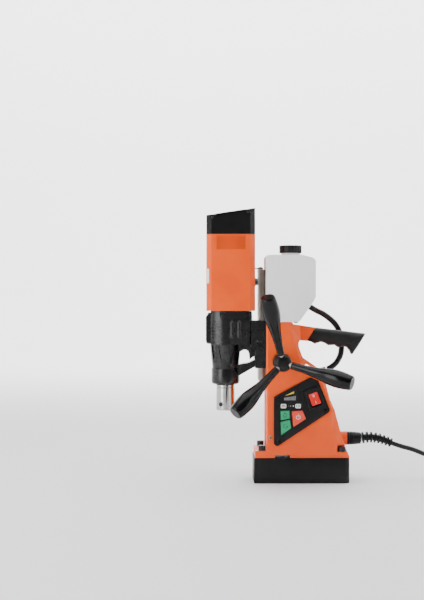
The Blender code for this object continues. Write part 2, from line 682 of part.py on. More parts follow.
def build_feed(steel, black, rubber, joint):
    """Pinion shaft, hub, spokes and grips."""
    half_gap = math.pi + math.pi / FEED_TEETH
    teeth = gear_outline((FEED_X, FEED_Z), FEED_TEETH, FEED_MODULE, half_gap)
    shaft = solid("pinion_shaft", prism(teeth, "Y", -7.0, 7.0), steel, joint)
    fuse(shaft, rod(SHAFT_RADIUS, (FEED_X, -69.5, FEED_Z), (FEED_X, 37.0, FEED_Z), 20))
    bore = SHAFT_RADIUS + GAP
    profile = [
        (0.0, 20.0), (bore, 20.0), (bore, 0.0), (15.0, 0.0), (15.0, 9.0), (12.0, 12.0), (12.0, 16.0),
        (14.2, 19.0), (14.2, 29.0), (9.0, 35.0), (0.0, 35.0),
    ]
    hub = solid("feed_hub", turned(profile, (FEED_X, -50.0, FEED_Z), (0, -1, 0), 24), black, joint)
    centre = Vector((FEED_X, SPOKE_CENTRE_Y, FEED_Z))
    tilt = math.radians(SPOKE_TILT)
    grip_profile = [
        (0.0, 76.0), (4.3, 76.0), (4.3, 17.5), (6.0, 17.5), (6.6, 40.0), (9.2, 62.0), (13.4, 82.0),
        (14.3, 94.0), (13.6, 108.0), (12.0, 120.5), (10.5, SPOKE_LENGTH), (0.0, SPOKE_LENGTH),
    ]
    for number, angle in enumerate(map(math.radians, SPOKE_ANGLES), 1):
        out = Vector((math.cos(angle) * math.cos(tilt), -math.sin(tilt), math.sin(angle) * math.cos(tilt)))
        cut(hub, rod(4.3, centre + 7.0 * out, centre + 20.0 * out, 12))
        solid(f"feed_spoke_{number}", rod(4.0, centre + 8.0 * out, centre + 75.0 * out, 12), steel, joint)
        solid(f"feed_grip_{number}", turned(grip_profile, centre, out, 16), rubber, joint)


# Motor unit


def layshaft_place():
    """Where the layshaft stands: at both gear pairs' centre distances from its neighbours."""
    near = MOTOR_MODULE * (WHEEL_TEETH + ARMATURE_PINION_TEETH) / 2
    far = SPINDLE_MODULE * (WHEEL_TEETH + LAYSHAFT_PINION_TEETH) / 2
    apart = ARMATURE[0] - SPINDLE[0]
    along = (far * far - near * near + apart * apart) / (2 * apart)
    return (SPINDLE[0] + along, math.sqrt(far * far - along * along))


def direction_angle(start, end):
    return math.atan2(end[1] - start[1], end[0] - start[0])


def build_gear_housing(casting, joint):
    low, high = GEAR_HOUSING_X
    half = GEAR_HOUSING_HALF_WIDTH
    bottom, top = GEAR_HOUSING_Z
    outline = rounded([(low, -half, 8.0), (high, -half, 4.0), (high, half, 4.0), (low, half, 8.0)], 3)
    housing = solid("gear_housing", prism(outline, "Z", bottom, top), casting, joint)
    bump = rounded([(-160.4, -14.0, 4.0), (low + 3.0, -14.0), (low + 3.0, 14.0), (-160.4, 14.0, 4.0)], 3)
    fuse(housing, prism(bump, "Z", bottom + 0.5, 282.0))
    fuse(housing, block((high - 3.0, -83.0), (-30.0, 30.0), (271.9, top - 0.5)))
    inside = rounded([(low + WALL, half - WALL, 6.0), (low + WALL, WALL - half, 6.0),
                      (high - WALL, WALL - half, 3.0), (high - WALL, half - WALL, 3.0)], 3)
    cut(housing, prism(inside, "Z", bottom + 5.0, top + 1.0))
    cut(housing, rod(12.5, (*SPINDLE, bottom - 1.0), (*SPINDLE, bottom + 6.0), 24))
    place = layshaft_place()
    cut(housing, rod(3.3, (*place, bottom + 2.0), (*place, bottom + 6.0), 12))


def build_nose(casting, steel, joint):
    top = GEAR_HOUSING_Z[0] - GAP
    profile = [
        (16.2, 163.3), (20.0, 163.3), (22.8, 165.0), (23.7, 168.5), (23.7, 190.0), (26.0, top),
        (20.6, top), (20.6, 200.0), (16.2, 200.0),
    ]
    place = (*SPINDLE, 0.0)
    solid("nose_housing", turned(profile, place, sides=32, ring=True), casting, joint)
    race = [(12.0, 200.3), (20.3, 200.3), (20.3, 214.0), (12.0, 214.0)]
    solid("spindle_bearing", turned(race, place, sides=24, ring=True), steel, joint)


def build_motor(orange, black, laminations, copper, joint, armature_joint):
    bottom, top = MOTOR_Z
    outline = chamfered_box(MOTOR_X, MOTOR_HALF_WIDTH, MOTOR_CORNER)
    inner_x = (MOTOR_X[0] + WALL, MOTOR_X[1] - WALL)
    inside = chamfered_box(inner_x, MOTOR_HALF_WIDTH - WALL, MOTOR_CORNER - 1.7)
    housing = solid("motor_housing", prism(outline, "Z", bottom, top), orange, joint)
    cut(housing, prism(inside, "Z", bottom + 5.0, top + 1.0))
    cut(housing, rod(8.5, (*ARMATURE, bottom - 1.0), (*ARMATURE, bottom + 6.0), 16))
    place = layshaft_place()
    cut(housing, rod(3.3, (*place, bottom - 1.0), (*place, bottom + 3.0), 12))
    build_top_cap(outline, inner_x, black, laminations, joint)
    centre = (*ARMATURE, 0.0)
    ring = [(24.3, 312.0), (34.0, 312.0), (34.0, 372.0), (24.3, 372.0)]
    solid("stator", turned(ring, centre, sides=24, ring=True), copper, joint)
    mesh_angle = direction_angle(place, ARMATURE) + math.pi + math.pi / ARMATURE_PINION_TEETH
    pinion = gear_outline(ARMATURE, ARMATURE_PINION_TEETH, MOTOR_MODULE, mesh_angle)
    low, high = MOTOR_GEAR_LEVEL
    armature = solid("armature", prism(pinion, "Z", low, high), laminations, armature_joint)
    profile = [(3.5, 257.5), (3.5, high + 0.5), (4.5, high + 0.5), (4.5, 314.0), (23.7, 314.0), (23.7, 370.0),
               (12.0, 376.0), (12.0, 390.0), (9.0, 396.0), (30.0, 394.0), (30.0, 403.0), (9.0, 404.5),
               (4.0, 405.0), (4.0, 410.0)]
    fuse(armature, turned(profile, centre, sides=20))


def build_top_cap(outline, inner_x, black, steel, joint):
    def slope(x, _):
        share = (x - MOTOR_X[0]) / (MOTOR_X[1] - MOTOR_X[0])
        return CAP_TOP_FRONT + share * (CAP_TOP_REAR - CAP_TOP_FRONT)

    cap = solid("top_cap", prism(outline, "Z", CAP_BOTTOM, slope), black, joint)
    inside = chamfered_box(inner_x, MOTOR_HALF_WIDTH - WALL, 14.0)
    cut(cap, prism(inside, "Z", CAP_BOTTOM - 1.0, 441.0))
    for number, x in enumerate((MOTOR_X[0] + 9.0, MOTOR_X[1] - 9.0), 1):
        seat = slope(x, 0) - 3.0
        y = -MOTOR_HALF_WIDTH + 8.5
        cut(cap, rod(3.4, (x, y, seat), (x, y, seat + 6.0), 12))
        cut(cap, rod(1.9, (x, y, seat - 13.0), (x, y, seat + 1.0), 8))
        profile = [(0.0, seat - 12.0), (1.6, seat - 12.0), (1.6, seat + GAP), (3.0, seat + GAP),
                   (3.0, seat + 2.6), (0.0, seat + 2.6)]
        solid(f"cap_screw_{number}", turned(profile, (x, y, 0.0), sides=10), steel, joint)


def build_layshaft(steel, joint):
    place = layshaft_place()
    wheel_angle = direction_angle(place, ARMATURE)
    wheel = gear_outline(place, WHEEL_TEETH, MOTOR_MODULE, wheel_angle)
    layshaft = solid("layshaft", prism(wheel, "Z", *MOTOR_GEAR_LEVEL), steel, joint)
    mesh_angle = direction_angle(SPINDLE, place) + math.pi + math.pi / LAYSHAFT_PINION_TEETH
    pinion = gear_outline(place, LAYSHAFT_PINION_TEETH, SPINDLE_MODULE, mesh_angle)
    low, high = SPINDLE_GEAR_LEVEL
    fuse(layshaft, prism(pinion, "Z", low, high))
    fuse(layshaft, turned([(3.0, 233.4), (3.0, 289.6)], (*place, 0.0), sides=12))


def build_spindle(steel, dark, joint):
    bore_top = ARBOR_BOTTOM + ARBOR_BORE_DEPTH
    profile = [
        (0.0, bore_top + 3.0), (ARBOR_BORE, bore_top), (ARBOR_BORE, ARBOR_BOTTOM),
        (ARBOR_RADIUS - 1.0, ARBOR_BOTTOM), (ARBOR_RADIUS, ARBOR_BOTTOM + 1.0), (ARBOR_RADIUS, ARBOR_TOP),
        (11.7, ARBOR_TOP + 1.5), (11.7, 218.0), (9.5, 218.0), (9.5, 256.0), (0.0, 256.0),
    ]
    arbor = solid("spindle_arbor", turned(profile, (*SPINDLE, 0.0), sides=32), steel, joint)
    centre = Vector((*SPINDLE, SET_SCREW_HEIGHT))
    for number, angle in enumerate(map(math.radians, SET_SCREW_ANGLES), 1):
        out = Vector((math.cos(angle), math.sin(angle), 0.0))
        cut(arbor, rod(3.8, centre + 7.0 * out, centre + 18.0 * out, 12))
        start = centre + (ARBOR_BORE + 0.2) * out
        solid(f"set_screw_{number}", rod(3.5, start, start + 4.6 * out, 12), dark, joint)
    mesh_angle = direction_angle(SPINDLE, layshaft_place())
    teeth = gear_outline(SPINDLE, WHEEL_TEETH, SPINDLE_MODULE, mesh_angle)
    gear = solid("spindle_gear", prism(teeth, "Z", *SPINDLE_GEAR_LEVEL), steel, joint)
    low, high = SPINDLE_GEAR_LEVEL
    cut(gear, rod(9.8, (*SPINDLE, low - 1.0), (*SPINDLE, high + 1.0), 32))


# Cords


def build_cords(cable_black, black, joint):
    solid("cord_gland", turned(
        [(5.6, -16.0), (5.6, 0.3), (11.0, 0.3), (11.2, 6.0), (9.6, 24.0), (8.0, 24.0), (5.6, 24.0)],
        (CORD_BOSS_END, 0.0, CORD_HEIGHT), (1.0, 0.0, 0.0), 20), black)
    taper = [
        (104.2, 71.4, 9.3), (114.0, 72.6, 9.1), (126.0, 72.0, 8.8), (140.0, 68.6, 8.2), (154.0, 63.1, 7.4),
    ]
    solid("strain_relief", tapered(taper, 12), black)
    cable("mains_cord", MAINS_ROUTE, MAINS_DIAMETER, cable_black)
    cable("mains_lead", LEAD_ROUTE, MAINS_DIAMETER, cable_black)
    inner, outer = COIL_RADII
    top = COIL_HEIGHT
    ring = [
        (inner, 8.0), (inner + 6.0, GAP), (outer - 6.0, GAP), (outer, 8.0), (outer, top - 8.0),
        (outer - 6.0, top), (inner + 6.0, top), (inner, top - 8.0),
    ]
    solid("mains_coil", turned(ring, (*COIL_CENTRE, 0.0), sides=32, ring=True), cable_black)
    build_plug(black)
    away = Vector((1.0, 1.0, 0.0)).normalized()
    seat = Vector((MOTOR_X[1] - MOTOR_CORNER / 2, MOTOR_HALF_WIDTH - MOTOR_CORNER / 2, 337.0))
    nut = [(8.0, GAP), (8.0, 6.0), (6.6, 7.5), (6.2, 12.4)]
    solid("motor_cable_gland", turned(nut, seat, away, 12), black, joint)
    slant = Vector((0.887, 0.0, 0.461)).normalized()
    seat = Vector((33.5, 22.0, 179.0))
    nut = [(8.5, GAP), (8.5, 8.0), (6.8, 9.5), (6.3, 15.0)]
    solid("rear_cable_gland", turned(nut, seat, slant, 12), black)
    cable("motor_cable", MOTOR_CABLE_ROUTE, MOTOR_CABLE_DIAMETER, cable_black)


def tapered(stations, sides):
    """A round solid in the XZ plane through stations of (x, z, radius)."""
    mesh = bmesh.new()
    loops = []
    for index, (x, z, radius) in enumerate(stations):
        before, after = stations[max(index - 1, 0)], stations[min(index + 1, len(stations) - 1)]
        along = Vector((after[0] - before[0], 0.0, after[1] - before[1])).normalized()
        up = Vector((-along.z, 0.0, along.x))
        loop = []
        for step in range(sides):
            angle = math.tau * step / sides
            offset = up * math.cos(angle) + Vector((0.0, 1.0, 0.0)) * math.sin(angle)
            loop.append(mesh.verts.new(Vector((x, 0.0, z)) + radius * offset))
        loops.append(loop)
    mesh.faces.new(loops[0])
    mesh.faces.new(reversed(loops[-1]))
    for one, two in zip(loops, loops[1:]):
        for step in range(sides):
            mesh.faces.new((one[step - 1], one[step], two[step], two[step - 1]))
    return mesh


def build_plug(black):
    """A round mains plug that lies on its side, with two pins."""
    profile = [(5.0, GAP), (6.5, 12.0), (10.0, 16.0), (15.5, 24.0), (16.7, 28.0), (16.7, 45.0), (15.5, 47.0)]
    plug = solid("mains_plug", turned(profile, PLUG_PLACE, (0.0, 1.0, 0.0), 20), black)
    x, y, z = PLUG_PLACE
    for side in (-9.5, 9.5):
        fuse(plug, rod(2.4, (x + side, y + 40.0, z), (x + side, y + 66.0, z), 10))


def main():
    clear_scene()
    orange = surface("orange paint", (0.85, 0.2, 0.03), 0.4)
    black_paint = surface("black paint", (0.015, 0.015, 0.016), 0.45)
    casting = surface("black casting", (0.03, 0.03, 0.032), 0.5)
    black_plastic = surface("black plastic", (0.02, 0.02, 0.02), 0.4)
    rubber = surface("black rubber", (0.018, 0.018, 0.018), 0.6)
    steel = surface("ground steel", (0.5, 0.47, 0.43), 0.3, 1.0)
    dark_steel = surface("blackened steel", (0.05, 0.05, 0.05), 0.4, 0.8)
    copper = surface("enamelled copper", (0.6, 0.25, 0.1), 0.4, 0.8)
    resin = surface("potting resin", (0.04, 0.03, 0.02), 0.5)
    tank_plastic = surface("natural polythene", (0.85, 0.86, 0.86), 0.35)
    green = surface("green key", (0.02, 0.35, 0.15), 0.4)
    red = surface("red key", (0.7, 0.03, 0.02), 0.35)
    cord = surface("cord jacket", (0.02, 0.02, 0.02), 0.5)

    carriage = pivot("carriage", (PLATE_BACK, 0.0, PLATE_BOTTOM))
    feed = pivot("feed_wheel", (FEED_X, 0.0, FEED_Z))
    spindle = pivot("spindle", (*SPINDLE, ARBOR_BOTTOM), carriage)
    layshaft = pivot("layshaft_axis", (*layshaft_place(), SPINDLE_GEAR_LEVEL[0]), carriage)
    armature = pivot("armature_axis", (*ARMATURE, MOTOR_GEAR_LEVEL[0]), carriage)

    build_magnet(black_paint, resin)
    build_housing_bolts(dark_steel)
    build_housing(orange)
    build_handle_grip(rubber)
    build_slideway_parts(steel, dark_steel)
    build_control_panel(black_plastic, green, red, dark_steel, resin)
    build_tank(tank_plastic, black_plastic, dark_steel)
    build_slide(steel, carriage)
    build_bracket(casting, dark_steel, carriage)
    build_feed(steel, black_plastic, rubber, feed)
    build_gear_housing(casting, carriage)
    build_nose(casting, steel, carriage)
    build_motor(orange, black_plastic, dark_steel, copper, carriage, armature)
    build_layshaft(steel, layshaft)
    build_spindle(steel, dark_steel, spindle)
    build_cords(cord, black_plastic, carriage)


main()
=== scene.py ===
"""The looks of the magnetic drill press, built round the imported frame. Sizes are in millimetres."""

import json
import math

import bmesh
import bpy
from mathutils import Matrix, Vector


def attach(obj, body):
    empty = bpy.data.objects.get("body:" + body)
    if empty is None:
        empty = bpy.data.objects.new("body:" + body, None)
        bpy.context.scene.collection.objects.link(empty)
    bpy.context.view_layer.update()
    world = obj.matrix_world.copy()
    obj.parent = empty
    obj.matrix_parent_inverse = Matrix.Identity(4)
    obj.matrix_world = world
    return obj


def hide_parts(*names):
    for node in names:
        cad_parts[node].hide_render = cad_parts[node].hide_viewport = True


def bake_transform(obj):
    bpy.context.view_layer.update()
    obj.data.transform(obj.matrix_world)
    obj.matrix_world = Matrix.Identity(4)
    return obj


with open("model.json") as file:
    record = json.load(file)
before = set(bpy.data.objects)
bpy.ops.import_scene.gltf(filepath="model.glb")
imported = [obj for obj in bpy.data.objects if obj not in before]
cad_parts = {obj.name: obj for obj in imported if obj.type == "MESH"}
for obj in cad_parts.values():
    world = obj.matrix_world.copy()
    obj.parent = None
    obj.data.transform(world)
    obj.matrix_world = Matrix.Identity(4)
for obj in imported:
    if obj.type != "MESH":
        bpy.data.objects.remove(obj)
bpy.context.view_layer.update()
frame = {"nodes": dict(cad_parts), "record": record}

MM = 0.001
NODES = frame["nodes"]



def linked(name, data):
    """A new object in the scene."""
    item = bpy.data.objects.new(name, data)
    bpy.context.scene.collection.objects.link(item)
    return item


def around(sides):
    """Equal angles round a full turn."""
    return [math.tau * step / sides for step in range(sides)]


# Camera and light, in metres

CAMERA_PLACE = (-0.150, -1.940, 0.3055)
CAMERA_LENS = 68.5
LIGHT_TARGET = (-0.06, 0.0, 0.26)
SOFTBOXES = {
    "left_softbox": ((-1.45, -1.30, 0.62), (0.9, 1.5), 27.0),
    "right_softbox": ((1.45, -1.05, 0.62), (0.5, 1.5), 6.0),
    "top_softbox": ((0.0, 0.0, 2.2), (2.4, 2.4), 40.0),
}
WALL_LIGHTS = {"left_wall_light": (180, 95.0), "rear_wall_light": (90, 260.0), "right_wall_light": (0, 75.0)}
FLOOR_RADIUS = 3.4
FLOOR_BEND = 1.2
FLOOR_FRONT = 40.0
WALL_TOP = 5.0


def add_camera():
    camera = bpy.data.cameras.new("camera")
    camera.sensor_fit = "VERTICAL"
    camera.sensor_height = 36.0
    camera.lens = CAMERA_LENS
    item = linked("camera", camera)
    item.location = CAMERA_PLACE
    item.rotation_euler = (math.pi / 2, 0.0, 0.0)
    bpy.context.scene.camera = item


def add_light(name, place, target, size, power):
    light = bpy.data.lights.new(name, "AREA")
    light.shape = "RECTANGLE"
    light.size, light.size_y = size
    light.energy = power
    item = linked(name, light)
    item.location = place
    item.rotation_euler = (Vector(target) - Vector(place)).to_track_quat("-Z", "Y").to_euler()
    item.visible_camera = False


def add_studio():
    world = bpy.data.worlds.new("studio")
    world.use_nodes = True
    background = world.node_tree.nodes["Background"]
    background.inputs["Color"].default_value = (1.0, 1.0, 1.0, 1.0)
    background.inputs["Strength"].default_value = 0.12
    bpy.context.scene.world = world
    for name, (place, size, power) in SOFTBOXES.items():
        add_light(name, place, LIGHT_TARGET, size, power)
    for name, (angle, power) in WALL_LIGHTS.items():
        c, s = math.cos(math.radians(angle)), math.sin(math.radians(angle))
        add_light(name, (2.4 * c, 2.4 * s, 2.6), (4.6 * c, 4.6 * s, 1.2), (4.0, 0.6), power)
    sky = bpy.data.lights.new("sky", "SUN")
    sky.energy = 1.2
    sky.angle = math.radians(80)
    linked("sky", sky)


def add_floor():
    """A pale floor that curves up into a wall on three sides and runs on in front."""
    bends = [math.radians(90 * step / 16) for step in range(17)]
    wall = [(FLOOR_RADIUS + FLOOR_BEND * math.sin(a), FLOOR_BEND * (1 - math.cos(a))) for a in bends]
    wall.append((FLOOR_RADIUS + FLOOR_BEND, WALL_TOP))
    count = 48
    mesh = bmesh.new()
    centre = mesh.verts.new((0.0, 0.0, 0.0))
    rims = {}

    def vertex(step, reach, height):
        key = (step % count, round(reach, 4), round(height, 4))
        if key not in rims:
            angle = math.tau * (step % count) / count
            rims[key] = mesh.verts.new((reach * math.cos(angle), reach * math.sin(angle), height))
        return rims[key]

    for step in range(count):
        front = 200 <= 360 * (step + 0.5) / count <= 340
        profile = [(FLOOR_RADIUS, 0.0), (FLOOR_FRONT, 0.0)] if front else wall
        mesh.faces.new((centre, vertex(step, FLOOR_RADIUS, 0.0), vertex(step + 1, FLOOR_RADIUS, 0.0)))
        for one, two in zip(profile, profile[1:]):
            corners = ((step, one), (step, two), (step + 1, two), (step + 1, one))
            mesh.faces.new([vertex(number, *point) for number, point in corners])
    data = bpy.data.meshes.new("floor")
    mesh.to_mesh(data)
    mesh.free()
    data.shade_smooth()
    floor = linked("floor", data)
    floor.location.z = -0.0002
    material = bpy.data.materials.new("floor")
    material.use_nodes = True
    shader = material.node_tree.nodes["Principled BSDF"]
    shader.inputs["Base Color"].default_value = (0.92, 0.92, 0.92, 1.0)
    shader.inputs["Roughness"].default_value = 0.8
    data.materials.append(material)


# Materials


class Nodes:
    """Short calls for one material's node tree."""

    def __init__(self, name):
        self.material = bpy.data.materials.new(name)
        self.material.use_nodes = True
        self.tree = self.material.node_tree
        self.shader = self.tree.nodes["Principled BSDF"]
        self.place = self.tree.nodes.new("ShaderNodeTexCoord").outputs["Object"]

    def add(self, kind, inputs=None, **settings):
        node = self.tree.nodes.new(kind)
        for key, value in settings.items():
            setattr(node, key, value)
        for key, value in (inputs or {}).items():
            self.set(node.inputs[key], value)
        return node

    def set(self, socket, value):
        if isinstance(value, bpy.types.NodeSocket):
            self.tree.links.new(value, socket)
        else:
            socket.default_value = value

    def shade(self, **values):
        for key, value in values.items():
            self.set(self.shader.inputs[key.replace("_", " ")], value)

    def stretched(self, scale):
        """The object's own coordinates in metres, stretched along an axis."""
        return self.add("ShaderNodeMapping", {"Vector": self.place, "Scale": scale}).outputs["Vector"]

    def noise(self, scale, detail=2.0, vector=None, roughness=0.5):
        inputs = {"Vector": vector or self.place, "Scale": scale, "Detail": detail, "Roughness": roughness}
        return self.add("ShaderNodeTexNoise", inputs).outputs["Fac"]

    def ramp(self, factor, low, high, start=0.35, end=0.65):
        """A colour between two, by a factor."""
        node = self.add("ShaderNodeValToRGB", {"Fac": factor})
        node.color_ramp.elements[0].position = start
        node.color_ramp.elements[1].position = end
        node.color_ramp.elements[0].color = (*low, 1.0)
        node.color_ramp.elements[1].color = (*high, 1.0)
        return node.outputs["Color"]

    def level(self, factor, low, high):
        """A number between two, by a factor."""
        inputs = {"Value": factor, "From Min": 0.3, "From Max": 0.7, "To Min": low, "To Max": high}
        return self.add("ShaderNodeMapRange", inputs).outputs["Result"]

    def bump(self, *layers):
        """Bump from (height, distance in mm) layers, one on another."""
        normal = None
        for height, distance in layers:
            inputs = {"Height": height, "Distance": distance * MM, "Strength": 1.0}
            if normal:
                inputs["Normal"] = normal
            normal = self.add("ShaderNodeBump", inputs).outputs["Normal"]
        self.set(self.shader.inputs["Normal"], normal)


def painted(name, low, high, rough, grain, depth, shine):
    """Paint or moulded plastic: slight colour drift, fine grain and uneven gloss."""
    n = Nodes(name)
    drift = n.noise(22.0, 3.0)
    smear = n.noise(70.0, 4.0)
    n.shade(Base_Color=n.ramp(drift, low, high), Roughness=n.level(smear, rough - 0.05, rough + 0.06))
    n.shade(Specular_IOR_Level=shine)
    n.bump((n.noise(grain, 2.0), depth), (n.noise(grain * 0.2, 2.0), depth * 1.6))
    return n.material


def ground_steel(name, low, high, rough, stretch, depth):
    """Bare steel with machining marks along or round one direction."""
    n = Nodes(name)
    marks = n.noise(1.0, 4.0, n.stretched(stretch), 0.6)
    stain = n.noise(45.0, 5.0)
    n.shade(Base_Color=n.ramp(stain, low, high, 0.3, 0.7), Metallic=1.0)
    n.shade(Roughness=n.level(marks, rough - 0.07, rough + 0.09))
    n.bump((marks, depth))
    return n.material


def tank_plastic():
    """Milky polythene: light goes through it, and its wall is slightly uneven."""
    n = Nodes("tank_plastic")
    drift = n.noise(30.0, 3.0)
    n.shade(Base_Color=n.ramp(drift, (0.98, 0.955, 0.95), (0.99, 0.975, 0.97)), Roughness=0.3)
    n.shade(Subsurface_Weight=0.12, Subsurface_Radius=(0.012, 0.011, 0.011), Subsurface_Scale=0.3)
    n.shade(Transmission_Weight=0.03, IOR=1.45)
    n.bump((n.noise(160.0, 2.0), 0.05), (n.noise(1500.0, 2.0), 0.015))
    return n.material


def plain(name, colour, rough, metallic=0.0):
    """One colour with slight drift and fine grain."""
    n = Nodes(name)
    drift = n.noise(60.0, 3.0)
    low = tuple(0.92 * c for c in colour)
    high = tuple(min(1.0, 1.05 * c) for c in colour)
    gloss = n.level(n.noise(150.0, 3.0), rough - 0.04, rough + 0.05)
    n.shade(Base_Color=n.ramp(drift, low, high), Roughness=gloss, Metallic=metallic)
    n.bump((n.noise(2500.0, 2.0), 0.01))
    return n.material


ORANGE = ((0.86, 0.082, 0.003), (0.92, 0.1, 0.004))
BLACK = ((0.0035, 0.0035, 0.004), (0.006, 0.006, 0.0065))
DEEP_BLACK = ((0.002, 0.002, 0.0025), (0.004, 0.004, 0.0045))
RUBBER_BLACK = ((0.006, 0.006, 0.006), (0.01, 0.01, 0.01))
CORD_BLACK = ((0.004, 0.004, 0.0045), (0.007, 0.007, 0.0075))
DARK_STEEL = ((0.3, 0.265, 0.235), (0.42, 0.375, 0.33))
BRIGHT_STEEL = ((0.36, 0.35, 0.345), (0.46, 0.45, 0.44))

# name: darkest and lightest colour, roughness, grain per metre, grain depth in mm, shine
PAINTED = {
    "orange_paint": (ORANGE, 0.36, 900.0, 0.02, 0.3),
    "orange_plastic": (ORANGE, 0.34, 2200.0, 0.014, 0.3),
    "magnet_paint": (BLACK, 0.42, 1400.0, 0.03, 0.22),
    "black_casting": (BLACK, 0.26, 1300.0, 0.008, 0.42),
    "black_plastic": (BLACK, 0.34, 2600.0, 0.015, 0.24),
    "grip_plastic": (DEEP_BLACK, 0.16, 500.0, 0.004, 0.22),
    "rubber": (RUBBER_BLACK, 0.48, 2000.0, 0.02, 0.25),
    "cord_jacket": (CORD_BLACK, 0.3, 1600.0, 0.01, 0.35),
}

# name: darkest and lightest colour, roughness, stretch of the marks, depth in mm
MACHINED = {
    "ground_steel": (DARK_STEEL, 0.32, (900, 900, 14), 0.005),
    "arbor_steel": (BRIGHT_STEEL, 0.17, (20, 20, 2600), 0.003),
}

# name: colour, roughness and, on a metal, how metallic
PLAIN = {
    "black_steel": ((0.03, 0.03, 0.032), 0.3, 0.9),
    "bronze": ((0.5, 0.32, 0.13), 0.32, 1.0),
    "copper_winding": ((0.55, 0.2, 0.08), 0.35, 0.9),
    "resin": ((0.045, 0.035, 0.025), 0.4),
    "white_print": ((0.82, 0.82, 0.82), 0.4),
    "grey_print": ((0.2, 0.2, 0.21), 0.4),
    "dark_print": ((0.01, 0.06, 0.035), 0.4),
    "yellow_print": ((0.8, 0.62, 0.02), 0.4),
    "red_print": ((0.7, 0.06, 0.02), 0.4),
    "stop_key": ((0.84, 0.065, 0.025), 0.35),
    "red_key": ((0.72, 0.02, 0.015), 0.25),
    "green_key": ((0.004, 0.36, 0.15), 0.35),
}

M = {name: painted(name, *colours, *rest) for name, (colours, *rest) in PAINTED.items()}
M |= {name: ground_steel(name, *colours, *rest) for name, (colours, *rest) in MACHINED.items()}
M |= {name: plain(name, *values) for name, values in PLAIN.items()}
M["tank_plastic"] = tank_plastic()


def smooth(data, angle):
    """Smooth shading up to an angle in degrees."""
    data.shade_smooth()
    data.set_sharp_from_angle(angle=math.radians(angle))


def paint(data, look):
    data.materials.clear()
    data.materials.append(M[look])


def paint_nodes():
    """Every CAD node takes its slot's material, with smooth round faces."""
    for entry in frame["record"]["subparts"]:
        data = NODES[entry["node"]].data
        paint(data, entry["material_slot"])
        smooth(data, 30)


# Cords, which repeat the frame's own routes

MAINS_DIAMETER = 8.0
MAINS_ROUTE = (
    (154.9, 0.0, 62.7), (172.0, -1.0, 57.0), (190.0, -4.0, 52.3), (206.0, -9.0, 46.4),
    (222.0, -17.0, 41.2), (237.0, -26.5, 37.6), (249.0, -35.0, 36.0),
)
COIL_CENTRE = (278.0, 0.0)
COIL_START = -129.6
COIL_LANES = (34.0, 42.0, 50.0)
COIL_LAYERS = (28.2, 20.1, 12.1, 4.1)
TIE_ANGLES = (40, 160)
TIE_REACH = (29.4, 54.6)
TIE_HEIGHT = (0.6, 32.5)
TIE_HALF_WIDTH = 2.2
TIE_THICKNESS = 0.8
LEAD_ROUTE = (
    (289.0, -58.4, 4.4), (300.0, -60.6, 4.4), (312.0, -60.6, 4.5), (325.0, -57.5, 5.0),
    (336.0, -51.5, 7.2), (344.6, -43.0, 12.0), (348.9, -33.0, 16.2), (349.5, -23.2, 16.9),
)
MOTOR_CABLE_DIAMETER = 10.0
MOTOR_CABLE_ROUTE = (
    (-72.3, 44.5, 337.0), (-67.5, 48.6, 337.2), (-60.0, 52.0, 337.0), (-48.0, 53.0, 335.5),
    (-30.0, 50.5, 330.5), (-8.0, 48.0, 319.0), (8.0, 46.8, 306.0), (19.0, 46.2, 295.0),
    (31.5, 44.0, 287.0), (43.5, 41.0, 281.0), (57.0, 36.5, 270.5), (66.5, 33.0, 258.5),
    (72.0, 30.0, 243.0), (73.0, 27.5, 224.0), (70.8, 25.5, 210.5), (64.5, 23.5, 199.0),
    (56.6, 22.2, 191.6), (48.3, 22.0, 186.7),
)


def smooth_route(points, steps=6):
    """A smooth curve through a route's points."""
    knots = [Vector(point) for point in points]
    knots = [2 * knots[0] - knots[1], *knots, 2 * knots[-1] - knots[-2]]
    fine = []
    for before, start, end, after in zip(knots, knots[1:], knots[2:], knots[3:]):
        for step in range(steps):
            t = step / steps
            a = 2 * start + (end - before) * t
            b = (2 * before - 5 * start + 4 * end - after) * t * t
            c = (3 * start - before - 3 * end + after) * t * t * t
            fine.append((a + b + c) / 2)
    return [*fine, knots[-2]]


def tube(points, radius, sides=16):
    """A round tube with closed ends along points, with no twist."""
    mesh = bmesh.new()
    loops = []
    side = Vector((0.0, 0.0, 1.0))
    for index, place in enumerate(points):
        ahead = points[min(index + 1, len(points) - 1)] - points[max(index - 1, 0)]
        ahead.normalize()
        side = (side - ahead * side.dot(ahead)).normalized()
        across = ahead.cross(side)
        offsets = [side * math.cos(a) + across * math.sin(a) for a in around(sides)]
        loops.append([mesh.verts.new(place + radius * offset) for offset in offsets])
    join_loops(mesh, loops)
    return mesh


def join_loops(mesh, loops, caps=True):
    """Faces between loops of vertices, and over the first and last one."""
    if caps:
        mesh.faces.new(loops[0])
        mesh.faces.new(reversed(loops[-1]))
    for one, two in zip(loops, loops[1:]):
        for step in range(len(one)):
            mesh.faces.new((one[step - 1], one[step], two[step], two[step - 1]))


def coil_steps():
    """(turns, radius, height) stations along the coil: circles side by side, then the next layer."""
    inner, middle, outer = COIL_LANES
    top, *lower = COIL_LAYERS
    steps = [(0.0, 45.5, 36.0), (0.28, outer, top), (0.5, outer, top)]
    steps += [(0.7, middle, top), (0.75, middle, top), (0.95, inner, top)]
    turns = 0.95
    for number, z in enumerate(lower):
        for lane in reversed(COIL_LANES) if number == 1 else COIL_LANES:
            steps += [(turns + 0.2, lane, z), (turns + 1.0, lane, z)]
            turns += 1.0
    return steps + [(turns + 0.1, 58.2, lower[-1]), (turns + 0.13, 58.4, 4.2)]


